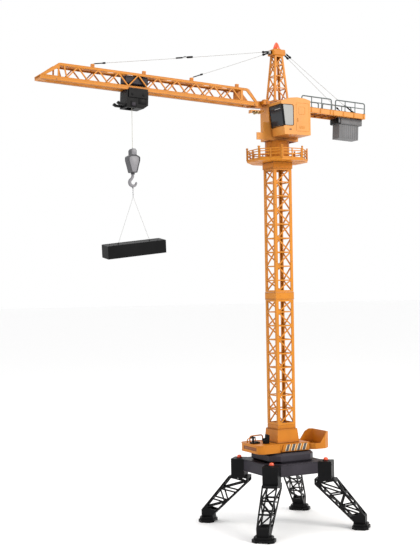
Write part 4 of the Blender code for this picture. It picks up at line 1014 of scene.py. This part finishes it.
def block_faces(bm):
    neck = softened(rectangle(ROPE_X - 0.0060, BLOCK_HIGH - 0.0150, ROPE_X + 0.0060, BLOCK_HIGH - 0.0012),
                    0.0040, 5)
    face = shield(0.0128, 0.0070, 0.0052, BLOCK_LOW + 0.0035, BLOCK_HIGH - 0.0165)
    for side in (-1, 1):
        near, far = sorted((side * 0.0085, side * 0.0103))
        slab(bm, [(x, z - 0.0018) for x, z in face], "XZ", near, far, 0.0007)
        near, far = sorted((side * 0.0085, side * 0.0099))
        slab(bm, neck, "XZ", near, far, 0.0005)


def block_rim(bm):
    for side in (-1, 1):
        outline = shield(0.0154, 0.0080, 0.0074, BLOCK_LOW + 0.0008, BLOCK_HIGH - 0.0165)
        path = [(x, side * 0.0097, z) for x, z in outline]
        tube(bm, bent(path, 0.0016, 3, closed=True), 0.0010, 8, closed=True)


def hook_shape(bm):
    bowl_z, bowl = 0.8930, 0.0090
    run = [(ROPE_X, 0, BLOCK_LOW + 0.0083), (ROPE_X, 0, BLOCK_LOW - 0.0035),
           (ROPE_X - 0.0006, 0, bowl_z + bowl + 0.0048)]
    radii = [0.0032, 0.0034, 0.0037]
    for k in range(21):
        turn = math.radians(118 + 238 * k / 20)
        run.append((ROPE_X + bowl * math.cos(turn), 0, bowl_z + bowl * math.sin(turn)))
        radii.append(0.0037 + 0.0005 * math.sin(math.pi * min(1, k / 14)) - 0.0012 * max(0, (k - 12) / 8))
    tube(bm, run, radii, 14)
    tip = Vector(run[-1])
    lathe(bm, [(0, 0.0021), (0.0013, 0.0017), (0.0020, 0.0008), (0.0020, -0.0006), (0, -0.0006)],
          Matrix.Translation(tip) @ aimed((0.1, 0, 1)), 14)


def hook_collar(bm):
    rod(bm, (ROPE_X, 0, BLOCK_LOW - 0.0042), (ROPE_X, 0, BLOCK_LOW - 0.0008), 0.0050, 24, 0.0006)


def rope_socket(bm):
    rod(bm, (ROPE_X, 0, BLOCK_HIGH - 0.0010), (ROPE_X, 0, BLOCK_HIGH + 0.0030), 0.0022, 18, 0.0006, 0.0014)


RING_Z = 0.8930 - 0.0090 - 0.0033
JOIN_Z = 0.8566


def chain(bm):
    count = 5
    pitch = (RING_Z + 0.0030 - JOIN_Z) / count
    for k in range(count):
        middle = RING_Z + 0.0030 - pitch * (k + 0.5)
        flat = k % 2
        long, wide = pitch * 0.66, 0.0016
        link = []
        for n in range(16):
            a = 2 * math.pi * n / 16
            across, along = wide * math.cos(a), long * math.sin(a)
            link.append((ROPE_X + (across if flat else 0), 0 if flat else across, middle + along))
        tube(bm, link, 0.00055, 6, closed=True)
    around = [2 * math.pi * n / 24 for n in range(24)]
    tube(bm, [(ROPE_X, 0.0040 * math.cos(a), RING_Z + 0.0004 + 0.0040 * math.sin(a)) for a in around],
         0.0006, 6, closed=True)


BEAM_SIZE = Vector((0.1575, 0.038, 0.032))
HANG = (Matrix.Translation((ROPE_X + 0.001, 0.0, 0.7290)) @ Matrix.Rotation(-math.radians(6.5), 4, "Y")
        @ Matrix.Rotation(math.radians(10), 4, "X"))


def beam_fittings(bm):
    half = BEAM_SIZE / 2
    cap = softened(rectangle(-half.y + 0.003, -half.z + 0.003, half.y - 0.003, half.z - 0.003), 0.002, 3)
    around = [2 * math.pi * n / 16 for n in range(16)]
    for side in (-1, 1):
        x = side * (half.x - 0.0001)
        near, far = sorted((x, x - side * 0.0008))
        slab(bm, cap, "YZ", near, far, 0.0003)
        for y in (-0.0120, 0.0120):
            dome(bm, (side * 0.0600, y, half.z - 0.0001), (0, 0, 1), 0.0018, 0.0008)
        eye = [(side * 0.0425, 0.0020 * math.cos(a), half.z + 0.0012 + 0.0020 * math.sin(a))
               for a in around]
        tube(bm, eye, 0.0006, 6, closed=True)
    for y in (-half.y + 0.0012, half.y - 0.0012):
        tube(bm, [(-half.x + 0.002, y, half.z - 0.0001), (half.x - 0.002, y, half.z - 0.0001)], 0.0006, 6)


piece("hook_block_faces", GREY, "hook_block", block_faces)
piece("hook_block_rims", DARK_GREY, "hook_block", block_rim)
piece("rope_socket", STEEL, "hook_block", rope_socket)
piece("hook_bar", GREY, "load", hook_shape, stands_for=("hook",))
piece("hook_collar", DARK_GREY, "load", hook_collar)
piece("sling_chain", STEEL, "load", chain, stands_for=("load_sling",))
piece("beam_end_caps_and_eyes", BLACK, "load", beam_fittings, LEVEL @ HANG)


def strand(name, start, end, radius, mat, body, sides=10):
    """A cord held tight between two points, as a tube, and the points that it follows."""
    path = [start.lerp(end, k / 19) for k in range(20)]
    obj = piece(name, mat, body, lambda bm: tube(bm, path, radius, sides), Matrix())
    return obj, [list(p) for p in path]


for label, side in (("front", -1), ("rear", 1)):
    start = LEVEL @ Vector((ROPE_X, 0, JOIN_Z + 0.0008))
    end = LEVEL @ HANG @ Vector((side * 0.0425, 0, BEAM_SIZE.z / 2 + 0.0012))
    wire, route = strand("sling_wire_" + label, start, end, 0.00045, WIRE, "load", 8)

top = LEVEL @ Vector((ROPE_X, 0, WINCH_Z))
foot = LEVEL @ Vector((ROPE_X, 0, BLOCK_HIGH + 0.0002))
rope, route = strand("hoist_rope_strand", top, foot, 0.0006, ROPE, "trolley")
rope.parent = None
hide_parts("hoist_rope")
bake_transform(rope)


# ---------------------------------------------------------------- floor, light and camera
floor_mesh = bpy.data.meshes.new("floor")
floor_mesh.from_pydata([(-40, -40, -0.0005), (40, -40, -0.0005), (40, 40, -0.0005), (-40, 40, -0.0005)], [],
                       [(0, 1, 2, 3)])
floor = bpy.data.objects.new("floor", floor_mesh)
scene.collection.objects.link(floor)
pale = bpy.data.materials.new("pale_floor")
pale.use_nodes = True
pale.node_tree.nodes["Principled BSDF"].inputs["Base Color"].default_value = (0.97, 0.97, 0.97, 1)
pale.node_tree.nodes["Principled BSDF"].inputs["Roughness"].default_value = 0.9
floor_mesh.materials.append(pale)

world = bpy.data.worlds.new("studio")
world.use_nodes = True
world.node_tree.nodes["Background"].inputs["Color"].default_value = (1.0, 1.0, 1.0, 1)
world.node_tree.nodes["Background"].inputs["Strength"].default_value = 1.0
scene.world = world
scene.view_settings.view_transform = "Standard"


def softbox(name, place, aim, size, power, tint=(1.0, 1.0, 1.0)):
    light = bpy.data.lights.new(name, "AREA")
    light.size, light.energy, light.color = size, power, tint
    obj = bpy.data.objects.new(name, light)
    obj.location = place
    obj.rotation_euler = (Vector(aim) - Vector(place)).to_track_quat("-Z", "Y").to_euler()
    scene.collection.objects.link(obj)


softbox("key", (1.6, -3.2, 2.3), (0.0, 0, 0.7), 1.2, 82, (1.0, 0.97, 0.92))
softbox("top", (-0.6, 0.4, 3.2), (0.0, 0, 0.6), 1.4, 20)

yaw, pitch, roll = math.radians(28.0935), math.radians(0.5473), math.radians(-0.8905)
forward = Vector((math.sin(yaw) * math.cos(pitch), math.cos(yaw) * math.cos(pitch), math.sin(pitch)))
flat_right = forward.cross(Vector((0, 0, 1))).normalized()
flat_up = flat_right.cross(forward)
right = math.cos(roll) * flat_right + math.sin(roll) * flat_up
up = math.cos(roll) * flat_up - math.sin(roll) * flat_right
lens = bpy.data.cameras.new("camera")
lens.sensor_fit, lens.sensor_height, lens.lens = "VERTICAL", 24, 46.768
camera = bpy.data.objects.new("camera", lens)
turn = Matrix((right, up, -forward)).transposed().to_4x4()
turn.translation = (AXIS_X - 1.5267, -2.4699, 0.6226)
camera.matrix_world = turn
scene.collection.objects.link(camera)
scene.camera = camera
